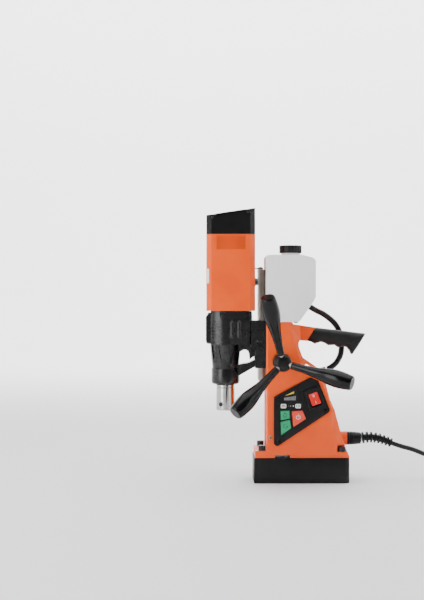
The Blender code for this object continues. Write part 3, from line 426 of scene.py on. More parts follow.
def coil_points():
    """The coil's centreline, wound anticlockwise from the top down."""
    steps = coil_steps()
    x, y = COIL_CENTRE
    points = []
    for one, two in zip(steps, steps[1:]):
        count = max(2, round((two[0] - one[0]) * 36))
        for step in range(count):
            share = step / count
            ease = share * share * (3 - 2 * share)
            angle = math.radians(COIL_START) + math.tau * (one[0] + share * (two[0] - one[0]))
            radius = one[1] + ease * (two[1] - one[1])
            height = one[2] + ease * (two[2] - one[2])
            points.append(Vector((x + radius * math.cos(angle), y + radius * math.sin(angle), height)))
    return points


def cord_curve(name, points, diameter, slot):
    """A free cord's own curve."""
    curve = bpy.data.curves.new(name, "CURVE")
    curve.dimensions = "3D"
    curve.bevel_depth = diameter / 2 * MM
    curve.bevel_resolution = 4
    curve.use_fill_caps = True
    spline = curve.splines.new("POLY")
    spline.points.add(len(points) - 1)
    for spot, place in zip(spline.points, points):
        spot.co = (*(place * MM), 1.0)
    spline.use_smooth = True
    curve.materials.append(M[slot])
    item = linked(name, curve)
    return item


def add_mains_cord(end_pieces):
    coil = coil_points()
    way_out = smooth_route([coil[-3], coil[-1], *LEAD_ROUTE], 6)[6:]
    line = smooth_route(MAINS_ROUTE)[:-1] + coil[:-1] + way_out
    cord = cord_curve("mains_cord_run", line, MAINS_DIAMETER, "cord_jacket")
    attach(cord, "stand")
    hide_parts("mains_cord", "mains_coil", "mains_lead")


def add_ties():
    """Two straps round the coil."""
    straps = []
    for angle in map(math.radians, TIE_ANGLES):
        loops = []
        for across, grow in ((1, 0.0), (1, TIE_THICKNESS), (-1, TIE_THICKNESS), (-1, 0.0)):
            reaches = (TIE_REACH[0] - grow, TIE_REACH[1] + grow)
            heights = (TIE_HEIGHT[0] - grow * 0.7, TIE_HEIGHT[1] + grow)
            half_width = across * TIE_HALF_WIDTH
            loop = []
            for reach, z in rectangle(reaches, heights, 6.0):
                x = COIL_CENTRE[0] + reach * math.cos(angle) - half_width * math.sin(angle)
                y = COIL_CENTRE[1] + reach * math.sin(angle) + half_width * math.cos(angle)
                loop.append((x, y, z))
            loops.append(loop)
        straps.append(closed_band(loops))
    return piece("coil_ties", together(*straps), "cord_jacket", "stand", angle=40)


def add_motor_cable():
    """The cable from the housing to the motor."""
    line = smooth_route(MOTOR_CABLE_ROUTE, 4)
    cable = make_object("motor_cable_run", tube(line, MOTOR_CABLE_DIAMETER / 2))
    smooth(cable.data, 60)
    paint(cable.data, "cord_jacket")
    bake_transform(cable)
    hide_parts("motor_cable")
    length = sum((b - a).length for a, b in zip(line, line[1:])) * MM


# Building pieces, in millimetres and in place


def in_plane(axis, first, second, along):
    """A point from two coordinates across an axis and one along it."""
    order = {"X": (along, first, second), "Y": (first, along, second), "Z": (first, second, along)}
    return order[axis]


def prism(outline, axis, low, high):
    """An outline across an axis, extruded along it. A level is a number or a function of the point."""
    mesh = bmesh.new()
    ends = []
    for level in (low, high):
        heights = [level(*point) if callable(level) else level for point in outline]
        ends.append([mesh.verts.new(in_plane(axis, *p, h)) for p, h in zip(outline, heights)])
    join_loops(mesh, ends)
    return mesh


def rectangle(x, y, corner=0.0, steps=6):
    """An outline from two (low, high) pairs, with rounded corners if they have a radius."""
    points = [(x[0], y[0]), (x[1], y[0]), (x[1], y[1]), (x[0], y[1])]
    return rounded([(*point, corner) for point in points], steps) if corner else points


def both_sides(half):
    """A whole outline from the half of it on one side of the object's middle plane."""
    return [*half, *((x, -y, *radius) for x, y, *radius in reversed(half))]


def block(x, y, z):
    """A box from three (low, high) pairs."""
    return prism(rectangle(x, y), "Z", *z)


def turned(profile, place=(0, 0, 0), direction=(0, 0, 1), sides=64, ring=False):
    """A turned solid from (radius, height) points. A ring's profile closes on itself."""
    mesh = bmesh.new()
    loops = []
    for radius, height in profile:
        angles = around(sides) if radius else [0.0]
        loops.append([mesh.verts.new((radius * math.cos(a), radius * math.sin(a), height)) for a in angles])
    pairs = list(zip(loops, loops[1:]))
    if ring:
        pairs.append((loops[-1], loops[0]))
    for one, two in pairs:
        for step in range(sides):
            walk = ((one, step), (one, step + 1), (two, step + 1), (two, step))
            corners = [loop[spot % len(loop)] for loop, spot in walk]
            mesh.faces.new(list(dict.fromkeys(corners)))
    if not ring:
        for loop in (loops[0], loops[-1]):
            if len(loop) > 1:
                mesh.faces.new(loop)
    turn = Vector(direction).to_track_quat("Z", "Y").to_matrix().to_4x4()
    bmesh.ops.transform(mesh, matrix=Matrix.Translation(place) @ turn, verts=mesh.verts)
    return mesh


def rod(radius, start, end, sides=32):
    """A plain round bar between two points."""
    along = Vector(end) - Vector(start)
    return turned([(radius, 0.0), (radius, along.length)], start, along, sides)


def rounded(corners, steps=6):
    """An outline whose corners with a third number, a radius, are rounded."""
    points = []
    for index, corner in enumerate(corners):
        here = Vector(corner[:2])
        if len(corner) == 2:
            points.append(tuple(here))
            continue
        back = (Vector(corners[index - 1][:2]) - here).normalized()
        ahead = (Vector(corners[(index + 1) % len(corners)][:2]) - here).normalized()
        half = back.angle(ahead) / 2
        centre = here + (back + ahead).normalized() * corner[2] / math.sin(half)
        start = here + back * corner[2] / math.tan(half) - centre
        sweep = start.angle_signed(here + ahead * corner[2] / math.tan(half) - centre)
        for step in range(steps + 1):
            points.append(tuple(centre + Matrix.Rotation(-sweep * step / steps, 2) @ start))
    return points


def grown(outline, distance):
    """A convex outline moved outwards by a distance."""
    centre = sum((Vector(p) for p in outline), Vector((0, 0))) / len(outline)
    lines = []
    for index, point in enumerate(outline):
        start, end = Vector(outline[index - 1]), Vector(point)
        normal = (end - start).orthogonal().normalized()
        if normal.dot(start - centre) < 0:
            normal = -normal
        lines.append((normal, normal.dot(start) + distance))
    points = []
    for index, (normal, offset) in enumerate(lines):
        following, next_offset = lines[(index + 1) % len(lines)]
        points.append(tuple(Matrix((normal, following)).inverted() @ Vector((offset, next_offset))))
    return points


def loft(sections):
    """A solid through loops of points."""
    mesh = bmesh.new()
    join_loops(mesh, [[mesh.verts.new(point) for point in section] for section in sections])
    return mesh


def closed_band(sections):
    """A solid through loops of points whose last loop joins the first one."""
    mesh = bmesh.new()
    loops = [[mesh.verts.new(point) for point in section] for section in sections]
    join_loops(mesh, [*loops, loops[0]], caps=False)
    return mesh


def hull(points):
    """The convex solid round a few points."""
    mesh = bmesh.new()
    for point in points:
        mesh.verts.new(point)
    bmesh.ops.convex_hull(mesh, input=mesh.verts)
    return mesh


def together(*meshes):
    """Several separate solids as one mesh."""
    whole = bmesh.new()
    for mesh in meshes:
        part = bpy.data.meshes.new("part")
        mesh.to_mesh(part)
        whole.from_mesh(part)
        bpy.data.meshes.remove(part)
        mesh.free()
    return whole


def mirrored(mesh):
    """The same solid on the other side of the object's middle plane."""
    other = mesh.copy()
    bmesh.ops.scale(other, verts=other.verts, vec=(1.0, -1.0, 1.0))
    return other


def make_object(name, mesh):
    bmesh.ops.scale(mesh, verts=mesh.verts, vec=(MM, MM, MM))
    bmesh.ops.recalc_face_normals(mesh, faces=mesh.faces)
    data = bpy.data.meshes.new(name)
    mesh.to_mesh(data)
    mesh.free()
    return linked(name, data)


def flatten(item):
    """Bake a piece's modifiers into its own mesh."""
    bpy.context.view_layer.update()
    graph = bpy.context.evaluated_depsgraph_get()
    data = bpy.data.meshes.new_from_object(item.evaluated_get(graph))
    item.modifiers.clear()
    item.data = data


def carve(item, tools):
    """Booleans with (operation, mesh) pairs, kept in the piece's own mesh."""
    hidden = []
    for operation, mesh in tools:
        tool = make_object("tool", mesh)
        boolean = item.modifiers.new("carve", "BOOLEAN")
        boolean.operation = operation
        boolean.solver = "EXACT"
        boolean.object = tool
        hidden.append(tool)
    flatten(item)
    for tool in hidden:
        bpy.data.objects.remove(tool, do_unlink=True)
    mesh = bmesh.new()
    mesh.from_mesh(item.data)
    bmesh.ops.remove_doubles(mesh, verts=mesh.verts, dist=0.00002)
    bmesh.ops.dissolve_limit(mesh, angle_limit=math.radians(0.4), verts=mesh.verts, edges=mesh.edges)
    mesh.to_mesh(item.data)
    mesh.free()


def cut(*meshes):
    return [("DIFFERENCE", mesh) for mesh in meshes]


def add(*meshes):
    return [("UNION", mesh) for mesh in meshes]


def piece(name, mesh, slot, body, tools=(), replaces=(), bevel=0.0, segments=3, angle=30, look=None):
    """A shown piece that moves with a body. Its look is its slot's material unless another is named."""
    item = make_object(name, mesh)
    if tools:
        carve(item, tools)
    paint(item.data, look or slot)
    smooth(item.data, angle)
    if bevel:
        round_edges(item, bevel, segments, angle)
    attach(item, body)
    if replaces:
        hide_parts(*replaces)
    return item


def round_edges(item, width, segments=3, angle=30):
    bevel = item.modifiers.new("edges", "BEVEL")
    bevel.width = width * MM
    bevel.segments = segments
    bevel.limit_method = "ANGLE"
    bevel.angle_limit = math.radians(angle)
    bevel.harden_normals = True
    bevel.miter_outer = "MITER_ARC"


def soften_nodes():
    """CAD nodes that stay in view get small rounded edges."""
    for name, width in SOFT_EDGES.items():
        item = NODES[name]
        weld = item.modifiers.new("weld", "WELD")
        weld.merge_threshold = 0.00001
        flat = item.modifiers.new("flat", "DECIMATE")
        flat.decimate_type = "DISSOLVE"
        flat.angle_limit = math.radians(0.5)
        round_edges(item, width, 2)


SOFT_EDGES = {"slide_plate": 0.5, "rack": 0.15, "gib_strip": 0.3, "magnet_body": 1.4}

# Motor unit

MOTOR_X = (-159.5, -77.8)
MOTOR_HALF = 39.0
MOTOR_CORNER = 8.5
MOTOR_Z = (287.3, 415.5)
VENT_X = (-143.6, -93.2)
VENT_Z = (389.8, 413.0)
SPINDLE = (-127.1, 0.0)
LAYSHAFT = (-107.186, 15.1135)
JOURNAL_RADIUS = 3.3


def octagon(x, half, corner, crown=0.0):
    """A rectangle across Z with its corners cut. Its two long faces swell by a crown."""
    low, high = x
    inner = half - corner
    near = [(low + corner, -half), (high - corner, -half)]
    if crown:
        span = high - low - 2 * corner
        shares = [step / 12 for step in range(13)]
        near = [(low + corner + span * s, crown * (1 - 4 * s * (1 - s)) - half) for s in shares]
    return both_sides([*near, (high, -inner)]) + [(low, inner), (low, -inner)]


def add_motor_housing():
    outline = octagon(MOTOR_X, MOTOR_HALF, MOTOR_CORNER, 0.9)
    inside = octagon((MOTOR_X[0] + 4, MOTOR_X[1] - 4), MOTOR_HALF - 4, MOTOR_CORNER - 1.7)
    bottom, top = MOTOR_Z
    tools = cut(prism(inside, "Z", bottom + 5.0, top + 1.0), seam_groove())
    tools += cut(block(VENT_X, (-MOTOR_HALF - 1, MOTOR_HALF + 1), VENT_Z))
    tools += cut(rod(8.5, (-118.7, 0, bottom - 1), (-118.7, 0, bottom + 6)))
    tools += cut(rod(JOURNAL_RADIUS, (*LAYSHAFT, bottom - 1.0), (*LAYSHAFT, bottom + 3.0)))
    piece("motor_case", prism(outline, "Z", bottom, top), "orange_plastic", "carriage", tools,
          ["motor_housing"], bevel=0.9, angle=35)
    for name, side in (("near", -1), ("far", 1)):
        add_vents(name, side)
    mesh = prism(rectangle((-2.6, 2.6), (-12.4, 12.4), 2.5), "Z", 0.0, 0.25)
    out = Vector((-1, -1, 0)).normalized()
    side = Vector((1, -1, 0)).normalized()
    turn = Matrix((side, Vector((0, 0, 1)), out)).transposed().to_4x4()
    spot = Vector((-156.6, -33.4, 345.5)) + 0.02 * out
    bmesh.ops.transform(mesh, matrix=Matrix.Translation(spot) @ turn, verts=mesh.verts)
    piece("motor_label", mesh, "orange_plastic", "carriage", look="white_print")


def add_vents(name, side):
    """A panel of square vents, in a group of three rows over one of four."""
    def across(depth, height):
        return sorted((side * (MOTOR_HALF - depth), side * (MOTOR_HALF - height)))

    holes = []
    for column in range(14):
        x = -141.0 + 3.48 * column
        reach = 7.0 if column < 4 or column > 8 else 3.0
        for z in (411.2, 408.1, 405.0, 401.1, 398.0, 394.9, 391.8):
            holes.append(block((x - 1.0, x + 1.0), across(reach, -1.0), (z - 0.95, z + 0.95)))
    x = (VENT_X[0] + 0.05, VENT_X[1] - 0.05)
    panel = block(x, across(7.5, 0.45), (VENT_Z[0] + 0.05, VENT_Z[1] - 0.05))
    piece("motor_vents_" + name, panel, "orange_plastic", "carriage", cut(together(*holes)))


def rearward(x):
    """How far along the motor unit x is: 0 at its front, 1 at its rear."""
    return (x - MOTOR_X[0]) / (MOTOR_X[1] - MOTOR_X[0])


def seam_groove():
    """A thin groove round the motor housing that climbs to the rear."""
    sections = []
    for inset, lift in ((-1.0, -0.35), (-1.0, 0.35), (0.6, 0.2), (0.6, -0.2)):
        x = (MOTOR_X[0] + inset, MOTOR_X[1] - inset)
        ring = octagon(x, MOTOR_HALF - inset, MOTOR_CORNER - 0.4 * inset)
        sections.append([(*point, 313.0 + 13.0 * rearward(point[0]) + lift) for point in ring])
    return closed_band(sections)


def cap_slope(x, _=0.0):
    """The height of the cap's sloping top, which is the same across it."""
    return 447.2 + rearward(x) * 12.1


def add_top_cap():
    outline = octagon(MOTOR_X, MOTOR_HALF, MOTOR_CORNER, 0.9)
    inside = octagon((MOTOR_X[0] + 4, MOTOR_X[1] - 4), MOTOR_HALF - 4, 14.0)
    tools = cut(prism(inside, "Z", 415.0, 441.0))
    screw = [(0.0, -6.7), (3.2, -6.7), (3.2, -4.1), (2.7, -3.5), (1.7, -3.5), (1.5, -5.0), (0.0, -5.0)]
    screws = []
    for side in (-1, 1):
        ledge = rectangle((-149.0, -88.2), sorted((side * (MOTOR_HALF - 2.6), side * (MOTOR_HALF + 1))))
        tools += cut(prism(ledge, "Z", lambda x, y: cap_slope(x) - 3.4, lambda x, y: cap_slope(x) + 2.0))
        for x in (-148.6, -88.7):
            y = side * (MOTOR_HALF - 3.6)
            z = cap_slope(x)
            tools += cut(rod(4.6, (x, y, z - 6.8), (x, y, z + 3.0), 40))
            screws.append(turned(screw, (x, y, z), sides=32))
    piece("motor_top_cap", prism(outline, "Z", 415.8, cap_slope), "black_plastic", "carriage", tools,
          ["top_cap"], bevel=0.9, angle=25)
    piece("motor_cap_screws", together(*screws), "black_steel", "carriage",
          replaces=["cap_screw_1", "cap_screw_2"])


GRILLE_Z = (269.6, 264.2, 258.8, 253.4, 248.0, 242.6, 235.2)


def gear_side():
    """The near side of the gear housing's plan: a swept front corner, then nearly flat to the rear."""
    points = []
    for step in range(11):
        angle = math.radians(-38 + 3.8 * step)
        points.append((-122.0 + 46.0 * math.sin(angle), 10.0 - 46.0 * math.cos(angle)))
    return points + [(-105.0, -36.0), (-89.5, -35.6), (-87.2, -34.6), (-86.5, -32.0)]


def gear_case_details(side):
    """The grooves, slots and bosses on one side of the gear housing."""
    band = [(x, y) for x, y in gear_side() if x < -121.0]
    outline = [(x - 2.0, y - 3.0) for x, y in band] + [(x + 1.0, y + 1.7) for x, y in reversed(band)]
    grooves = [prism(outline, "Z", z - 0.8, z + 0.8) for z in GRILLE_Z]
    if side > 0:
        grooves = [mirrored(groove) for groove in grooves]
    slots = [block((-141.0, -96.0), sorted((side * 33.5, side * 40.0)), (280.3, 290.0)),
             block((-155.0, -85.0), sorted((side * 35.0, side * 40.0)), (272.4, 273.4))]
    bosses = []
    for x, radius in ((-116.5, 4.2), (-104.6, 4.6)):
        profile = [(0.0, -1.0), (radius, 0.5), (radius, 27.0), (radius - 1.5, 29.5), (0.0, 30.5)]
        bosses.append(turned(profile, (x, side * 34.2, 242.0), sides=40))
    return grooves, slots, bosses


def add_gear_housing():
    outline = both_sides(gear_side()) + [(-152.4, 24.0), (-152.4, -24.0)]
    inside = both_sides([(-147.5, -20.0), (-138.0, -29.0), (-90.5, -31.0)])
    front = ((-160.4, 237.5), (-159.4, 233.0), (-156.5, 231.5), (-149.0, 231.5), (-149.0, 284.0),
             (-156.0, 284.0), (-160.4, 277.0))
    near_grooves, near_slots, near_bosses = gear_case_details(-1)
    far_grooves, far_slots, far_bosses = gear_case_details(1)
    tools = add(hull([(x, y, z) for x, z in front for y in (-14.0, 14.0)]))
    tools += add(block((-89.5, -83.0), (-30.0, 30.0), (271.9, 286.5)))
    tools += cut(together(*near_grooves, *far_grooves)) + add(*near_bosses, *far_bosses)
    tools += cut(prism(inside, "Z", 236.0, 288.0))
    tools += cut(together(*near_slots, *far_slots), rod(12.5, (*SPINDLE, 228.0), (*SPINDLE, 240.0), 48))
    tools += cut(rod(JOURNAL_RADIUS, (*LAYSHAFT, 233.0), (*LAYSHAFT, 237.0)))
    piece("gear_case", prism(outline, "Z", 231.0, 287.0), "black_casting", "carriage", tools,
          ["gear_housing"], bevel=0.5, segments=2, angle=28)


def add_nose():
    profile = [
        (16.2, 163.3), (20.2, 163.3), (22.4, 164.2), (23.6, 166.4), (23.8, 168.5), (23.8, 188.6),
        (23.1, 190.0), (22.4, 191.0), (24.6, 214.0), (26.0, 230.7), (20.6, 230.7), (20.6, 200.0),
        (16.2, 200.0),
    ]
    pockets = []
    for number in range(9):
        angle = math.radians(-107 + 40 * number)
        points = []
        for half, z, radius in ((0.20, 229.3, 25.8), (0.19, 226.0, 25.6), (0.012, 198.0, 23.0)):
            for turn in (angle - half, angle + half):
                for out in (-1.9, 3.0):
                    r = radius + out
                    points.append((SPINDLE[0] + r * math.cos(turn), r * math.sin(turn), z))
        pockets.append(hull(points))
    piece("nose_case", turned(profile, (*SPINDLE, 0.0), sides=72, ring=True), "black_casting", "carriage",
          cut(together(*pockets)), ["nose_housing"], bevel=0.4, segments=2, angle=28)


def add_arbor():
    bottom, top = 119.1, 162.0
    bore = 9.525
    profile = [
        (0.0, 172.1), (bore, 169.1), (bore, bottom + 0.8), (10.3, bottom), (14.4, bottom),
        (15.6, bottom + 1.2), (15.6, 156.6), (14.9, 157.2), (14.9, 158.2), (15.6, 158.8), (15.6, top - 0.4),
        (15.2, top), (11.7, top + 1.5), (11.7, 218.0), (9.5, 218.0), (9.5, 256.0), (0.0, 256.0),
    ]
    centre = Vector((*SPINDLE, 129.5))
    tools, screws = [], []
    for angle in (math.radians(238), math.radians(328)):
        out = Vector((math.cos(angle), math.sin(angle), 0.0))
        tools += cut(rod(3.9, centre + 6.0 * out, centre + 18.0 * out, 36))
        start = centre + 9.8 * out
        screws.append(turned([(0.0, 0.0), (3.5, 0.0), (3.5, 4.2), (3.1, 4.6), (1.9, 4.6)], start, out, 36))
        screws.append(turned([(1.9, 4.6), (1.9, 2.2), (0.0, 2.2)], start, out, 6))
    piece("arbor", turned(profile, (*SPINDLE, 0.0), sides=96), "arbor_steel", "spindle", tools,
          ["spindle_arbor"], bevel=0.3, segments=2)
    piece("arbor_screws", together(*screws), "black_steel", "spindle",
          replaces=["set_screw_1", "set_screw_2"])


BRACKET_BOLT = (-73.8, 233.6)


def add_bracket():
    front, back = -86.2, -72.3
    outline = [(front, 271.3), (back, 271.3), (back, 191.0), (-77.5, 191.0), (-79.5, 223.0), (front, 231.0)]
    tools = []
    for side in (-1, 1):
        cheek = [(-77.5, side * 25.0), (-77.5, side * 32.0), (-60.8, side * 32.0), (-60.8, side * 26.4),
                 (-72.6, side * 26.4), (-72.6, side * 25.0)]
        tools += add(prism(cheek, "Z", 191.5, 270.8))
    arm = [(-109.5, 177.0), (-109.5, 195.5), (-103.0, 197.0), (-87.0, 200.0), (-75.0, 206.0), (-75.0, 194.5),
           (-88.0, 187.0), (-103.0, 178.5)]
    arch = [(-105.9, 230.7), (-80.0, 230.7), (-78.0, 212.0), (-86.2, 205.0), (-87.2, 215.0), (-88.8, 219.0),
            (-92.0, 221.3), (-96.0, 221.8), (-102.0, 218.5), (-105.9, 218.0)]
    tools += add(prism(arm, "Y", -12.0, 12.0), prism(arch, "Y", -12.5, 12.5))
    side_block = rounded([(-86.2, -31.0, 2.0), (-76.0, -31.0), (-76.0, 31.0), (-86.2, 31.0, 2.0)], 4)
    x, z = BRACKET_BOLT
    tools += add(prism(side_block, "Z", 226.0, 270.8), rod(8.6, (x, -35.2, z), (x, -27.0, z), 48))
    tools += cut(rod(6.4, (x, -36.0, z), (x, -34.4, z), 48), rod(2.6, (x, -36.0, z), (x, -28.5, z), 24))
    fins = []
    for across in ((-33.0, -29.6), (29.6, 33.0)):
        fins += [block((-84.6, -64.4), across, (low, low + 2.2)) for low in (250.2, 254.4, 258.6, 262.8)]
    tools += cut(together(*fins))
    piece("bracket_case", prism(outline, "Y", -26.0, 26.0), "black_casting", "carriage", tools,
          ["motor_bracket"], bevel=0.7, angle=28)
    profile = [(0.0, 2.0), (2.2, 2.0), (2.5, 0.2), (3.9, 0.0), (4.5, 0.5), (4.5, 3.5), (2.3, 3.5), (2.3, 9.0),
               (0.0, 9.0)]
    piece("bracket_screw", turned(profile, (x, -38.8, z), (0, 1, 0), 48), "black_steel", "carriage",
          replaces=["bracket_bolt"])


# Housing

HALF = 38.0
FEED = (-34.1, 202.6)
BOLTS = ((-66.5, -33.0, 54.0), (-66.5, 33.0, 54.0), (66.5, -33.0, 52.0), (66.5, 33.0, 52.0))
HANDLE_CORE = ((5.0, 242.0), (17.0, 252.5), (90.0, 243.0), (86.0, 234.5))
PANEL_SCREWS = ((-39.5, 142.0), (40.0, 122.0), (-39.0, 69.5))


def chamfer(*stations):
    """Wedges that bevel both of the housing's sides, from (face point, edge point, depth) stations."""
    points = []
    for face, edge, depth in stations:
        start = Vector((face[0], -HALF, face[1]))
        end = Vector((edge[0], depth - HALF, edge[1]))
        far = start + 1.7 * (end - start)
        points += [start, far, (start.x, -HALF - 6, start.z), (far.x, -HALF - 6, far.z)]
    wedge = hull(points)
    return [wedge, mirrored(wedge)]


def housing_shape():
    """The housing's outside: column, foot, cord boss, handle root and core."""
    low = 42.3
    foot = [(-58.0, low), (79.5, low), (79.0, 44.5), (75.5, 54.0), (-58.0, 54.0)]
    front_foot = [(-78.0, low), (-55.0, low), (-55.0, 54.0), (-78.0, 54.0)]
    body = [
        (-59.6, 50.0), (76.8, 50.0), (64.5, 86.0), (60.6, 101.0), (54.6, 122.5), (47.0, 139.0),
        (39.5, 167.5, 8.0), (26.5, 192.5, 10.0), (1.5, 209.5, 10.0), (-5.0, 227.0, 6.0), (-5.0, 234.0, 4.0),
        (-1.0, 240.0, 3.0), (-3.0, 262.5, 3.0), (-14.0, 264.5, 2.0), (-16.5, 268.7), (-59.6, 268.7),
    ]
    root = [(-12.0, 264.5), (24.0, 259.0), (10.0, 236.5), (-12.0, 238.5)]
    tools = add(prism(foot, "Y", -HALF, HALF)) + side_facets() + add(prism(front_foot, "Y", -39.0, 39.0))
    tools += add(turned([(11.5, 0.0), (11.5, 28.5)], (50.0, 0.0, 71.0), (1, 0, 0)))
    tools += add(prism(root, "Y", -15.0, 15.0), prism(HANDLE_CORE, "Y", -6.0, 6.0))
    return prism(rounded(body, 5), "Y", -HALF, HALF), tools


def housing_bevels():
    """The facets that run along the housing's sides."""
    waist = ((-4.0, 204.0), (3.0, 209.0))
    shoulder = ((8.0, 189.0), (14.0, 201.5))
    elbow = ((34.5, 167.0), (39.8, 167.0))
    tools = chamfer(((-20.6, 264.0), (-6.0, 264.0), 7.0), ((-12.4, 235.4), (-4.6, 235.4), 7.0), (*waist, 7.0))
    tools += chamfer((*shoulder, 6.0), (*waist, 6.0))
    tools += chamfer((*elbow, 5.0), (*shoulder, 6.0))
    tools += chamfer((*elbow, 5.0), ((50.0, 123.0), (54.4, 123.0), 5.0))
    tools += chamfer(((49.0, 122.0), (54.6, 122.0), 5.5), ((50.0, 88.0), (63.7, 88.0), 7.0),
                     ((63.0, 56.0), (74.5, 56.0), 7.0))
    tools += chamfer(((-56.8, 268.0), (-59.6, 268.0), 2.2), ((-56.8, 54.6), (-59.6, 54.6), 2.2))
    return cut(*tools)


def side_facets():
    """Two creases across the lower sides: each face below one is set back a little and falls away."""
    tools = []
    creases = (((56.0, 124.0), (-22.0, 43.4), 0.25, 0.9), ((52.0, 82.4), (5.0, 41.5), 0.55, 1.3))
    for one, two, step, depth in creases:
        outer = (one[0] + 40.0, 40.0)
        points = []
        for (x, z), inset in ((one, step), (two, step), (outer, depth)):
            points += [Vector((x, inset - HALF, z)), Vector((x, -HALF - 9.0, z))]
        wedge = hull(points)
        tools += [wedge, mirrored(wedge)]
    return cut(*tools)


def slideway_tools():
    slot = [(-61.0, -14.4), (-59.6, -14.4), (-51.6, -20.5), (-51.6, 24.0), (-59.6, 18.2), (-61.0, 18.2)]
    tools = cut(prism(slot, "Z", 54.3, 269.7), block((-53.0, -45.4), (-6.4, 6.4), (54.5, 270.7)))
    return tools + cut(rod(15.6, (FEED[0], -45.0, FEED[1]), (FEED[0], 45.0, FEED[1]), 72))


def inner_tools():
    pocket = [(-37.8, 76.0), (-37.8, 136.0), (4.0, 158.0), (25.0, 165.0), (38.5, 129.0), (8.0, 99.0),
              (-16.0, 84.0)]
    tools = cut(prism(pocket, "Y", -41.0, -5.0), block((-37.5, 28.0), (-7.0, 32.0), (66.0, 150.0)))
    return tools + cut(rod(6.0, (20.0, 0.0, 71.0), (79.5, 0.0, 71.0)))


def fixing_tools():
    holes = [rod(3.7, (x, y, 41.3), (x, y, seat + 1)) for x, y, seat in BOLTS]
    tools = cut(together(*holes), block((-45.0, -20.0), (-45.0, 45.0), (41.0, 47.5)))
    pockets = []
    for side in (-1, 1):
        corners = rounded([(58.5, 52.0, 1.5), (82.0, 52.0), (82.0, 63.5), (58.5, 63.5, 3.0)], 4)
        pockets.append(prism(corners, "Y", *sorted((side * 24.0, side * 44.0))))
    window = rounded([(4.0, 201.0, 3.0), (27.0, 186.5, 3.0), (31.0, 178.0, 2.0), (23.0, 176.5, 2.0),
                      (14.0, 183.0, 3.0), (5.0, 182.0, 2.0)], 6)
    tools += cut(together(*pockets), prism(window, "Y", -45.0, 45.0))
    screws = [rod(1.7, (x, -45.0, z), (x, -31.0, z), 24) for x, z in PANEL_SCREWS]
    return tools + cut(together(*screws, rod(1.5, (-52.6, -45.0, 75.8), (-52.6, -32.0, 75.8), 24)))


def add_housing():
    body, tools = housing_shape()
    tools += housing_bevels()
    tools += add(rod(8.0, (-19.0, -40.6, 183.0), (-19.0, 40.6, 183.0), 56))
    tools += slideway_tools() + inner_tools() + fixing_tools()
    piece("stand_case", body, "orange_paint", "stand", tools, ["housing"], bevel=1.0, angle=12)
    ring = [(1.5, 0.0), (2.9, 0.0), (2.9, 0.5), (2.4, 0.9), (1.5, 0.9)]
    piece("pin_ring", turned(ring, (-52.6, -38.0, 75.8), (0, -1, 0), 40, ring=True), "ground_steel", "stand")


def bar_section(top, bottom, half, exponent=2.6, sides=40):
    """A rounded loop across a bar that runs in the XZ plane, between a top and a bottom point."""
    middle = (Vector(top) + Vector(bottom)) / 2
    reach = (Vector(top) - Vector(bottom)) / 2
    loop = []
    for angle in around(sides):
        c, s = math.cos(angle), math.sin(angle)
        up = math.copysign(abs(c) ** (2 / exponent), c)
        side = math.copysign(abs(s) ** (2 / exponent), s)
        loop.append((middle.x + up * reach.x, side * half, middle.y + up * reach.y))
    return loop


def add_handle():
    stations = [
        ((24.3, 259.0), (10.5, 236.4), 14.2), ((30.0, 258.3), (17.0, 235.0), 15.0),
        ((36.0, 257.7), (24.5, 231.0), 15.0), ((44.0, 256.8), (34.0, 234.5), 15.0),
        ((50.0, 256.1), (41.0, 232.5), 15.0), ((55.0, 255.5), (47.0, 228.5), 15.0),
        ((63.0, 254.6), (58.0, 229.0), 15.0), ((68.0, 254.0), (63.0, 225.0), 15.0),
        ((78.0, 252.8), (74.5, 226.5), 15.0), ((82.0, 252.2), (79.0, 225.0), 15.0),
        ((86.0, 251.7), (83.5, 219.0), 15.0), ((89.0, 251.3), (85.6, 213.5), 14.9),
        ((93.0, 250.8), (88.5, 213.8), 14.8), ((98.0, 250.2), (92.5, 220.0), 14.4),
        ((104.0, 249.6), (97.5, 227.5), 13.5), ((108.2, 249.1), (103.2, 237.0), 11.0),
        ((110.4, 248.4), (108.6, 245.0), 4.0),
    ]
    mesh = loft([bar_section(*station) for station in stations])
    core = prism(grown(HANDLE_CORE, 0.3), "Y", -6.3, 6.3)
    piece("handle_cover", mesh, "rubber", "stand", cut(core), ["handle_grip"], angle=50)


def add_bolts():
    heads, sockets = [], []
    for x, y, seat in BOLTS:
        low = seat + 0.3
        profile = [(0.0, 34.5), (3.4, 34.5), (3.4, low), (6.0, low), (6.0, low + 7.9), (5.4, low + 8.5),
                   (3.1, low + 8.5)]
        heads.append(turned(profile, (x, y, 0.0), sides=48))
        sockets.append(turned([(3.1, low + 8.5), (3.0, low + 4.5), (0.0, low + 4.5)], (x, y, 0.0), sides=6))
    names = [f"housing_bolt_{number}" for number in range(1, 5)]
    piece("stand_bolts", together(*heads, *sockets), "black_steel", "stand", replaces=names)


# Tank

TANK_LOW, TANK_HIGH = -60.1, 23.0
NECK_X = -16.7


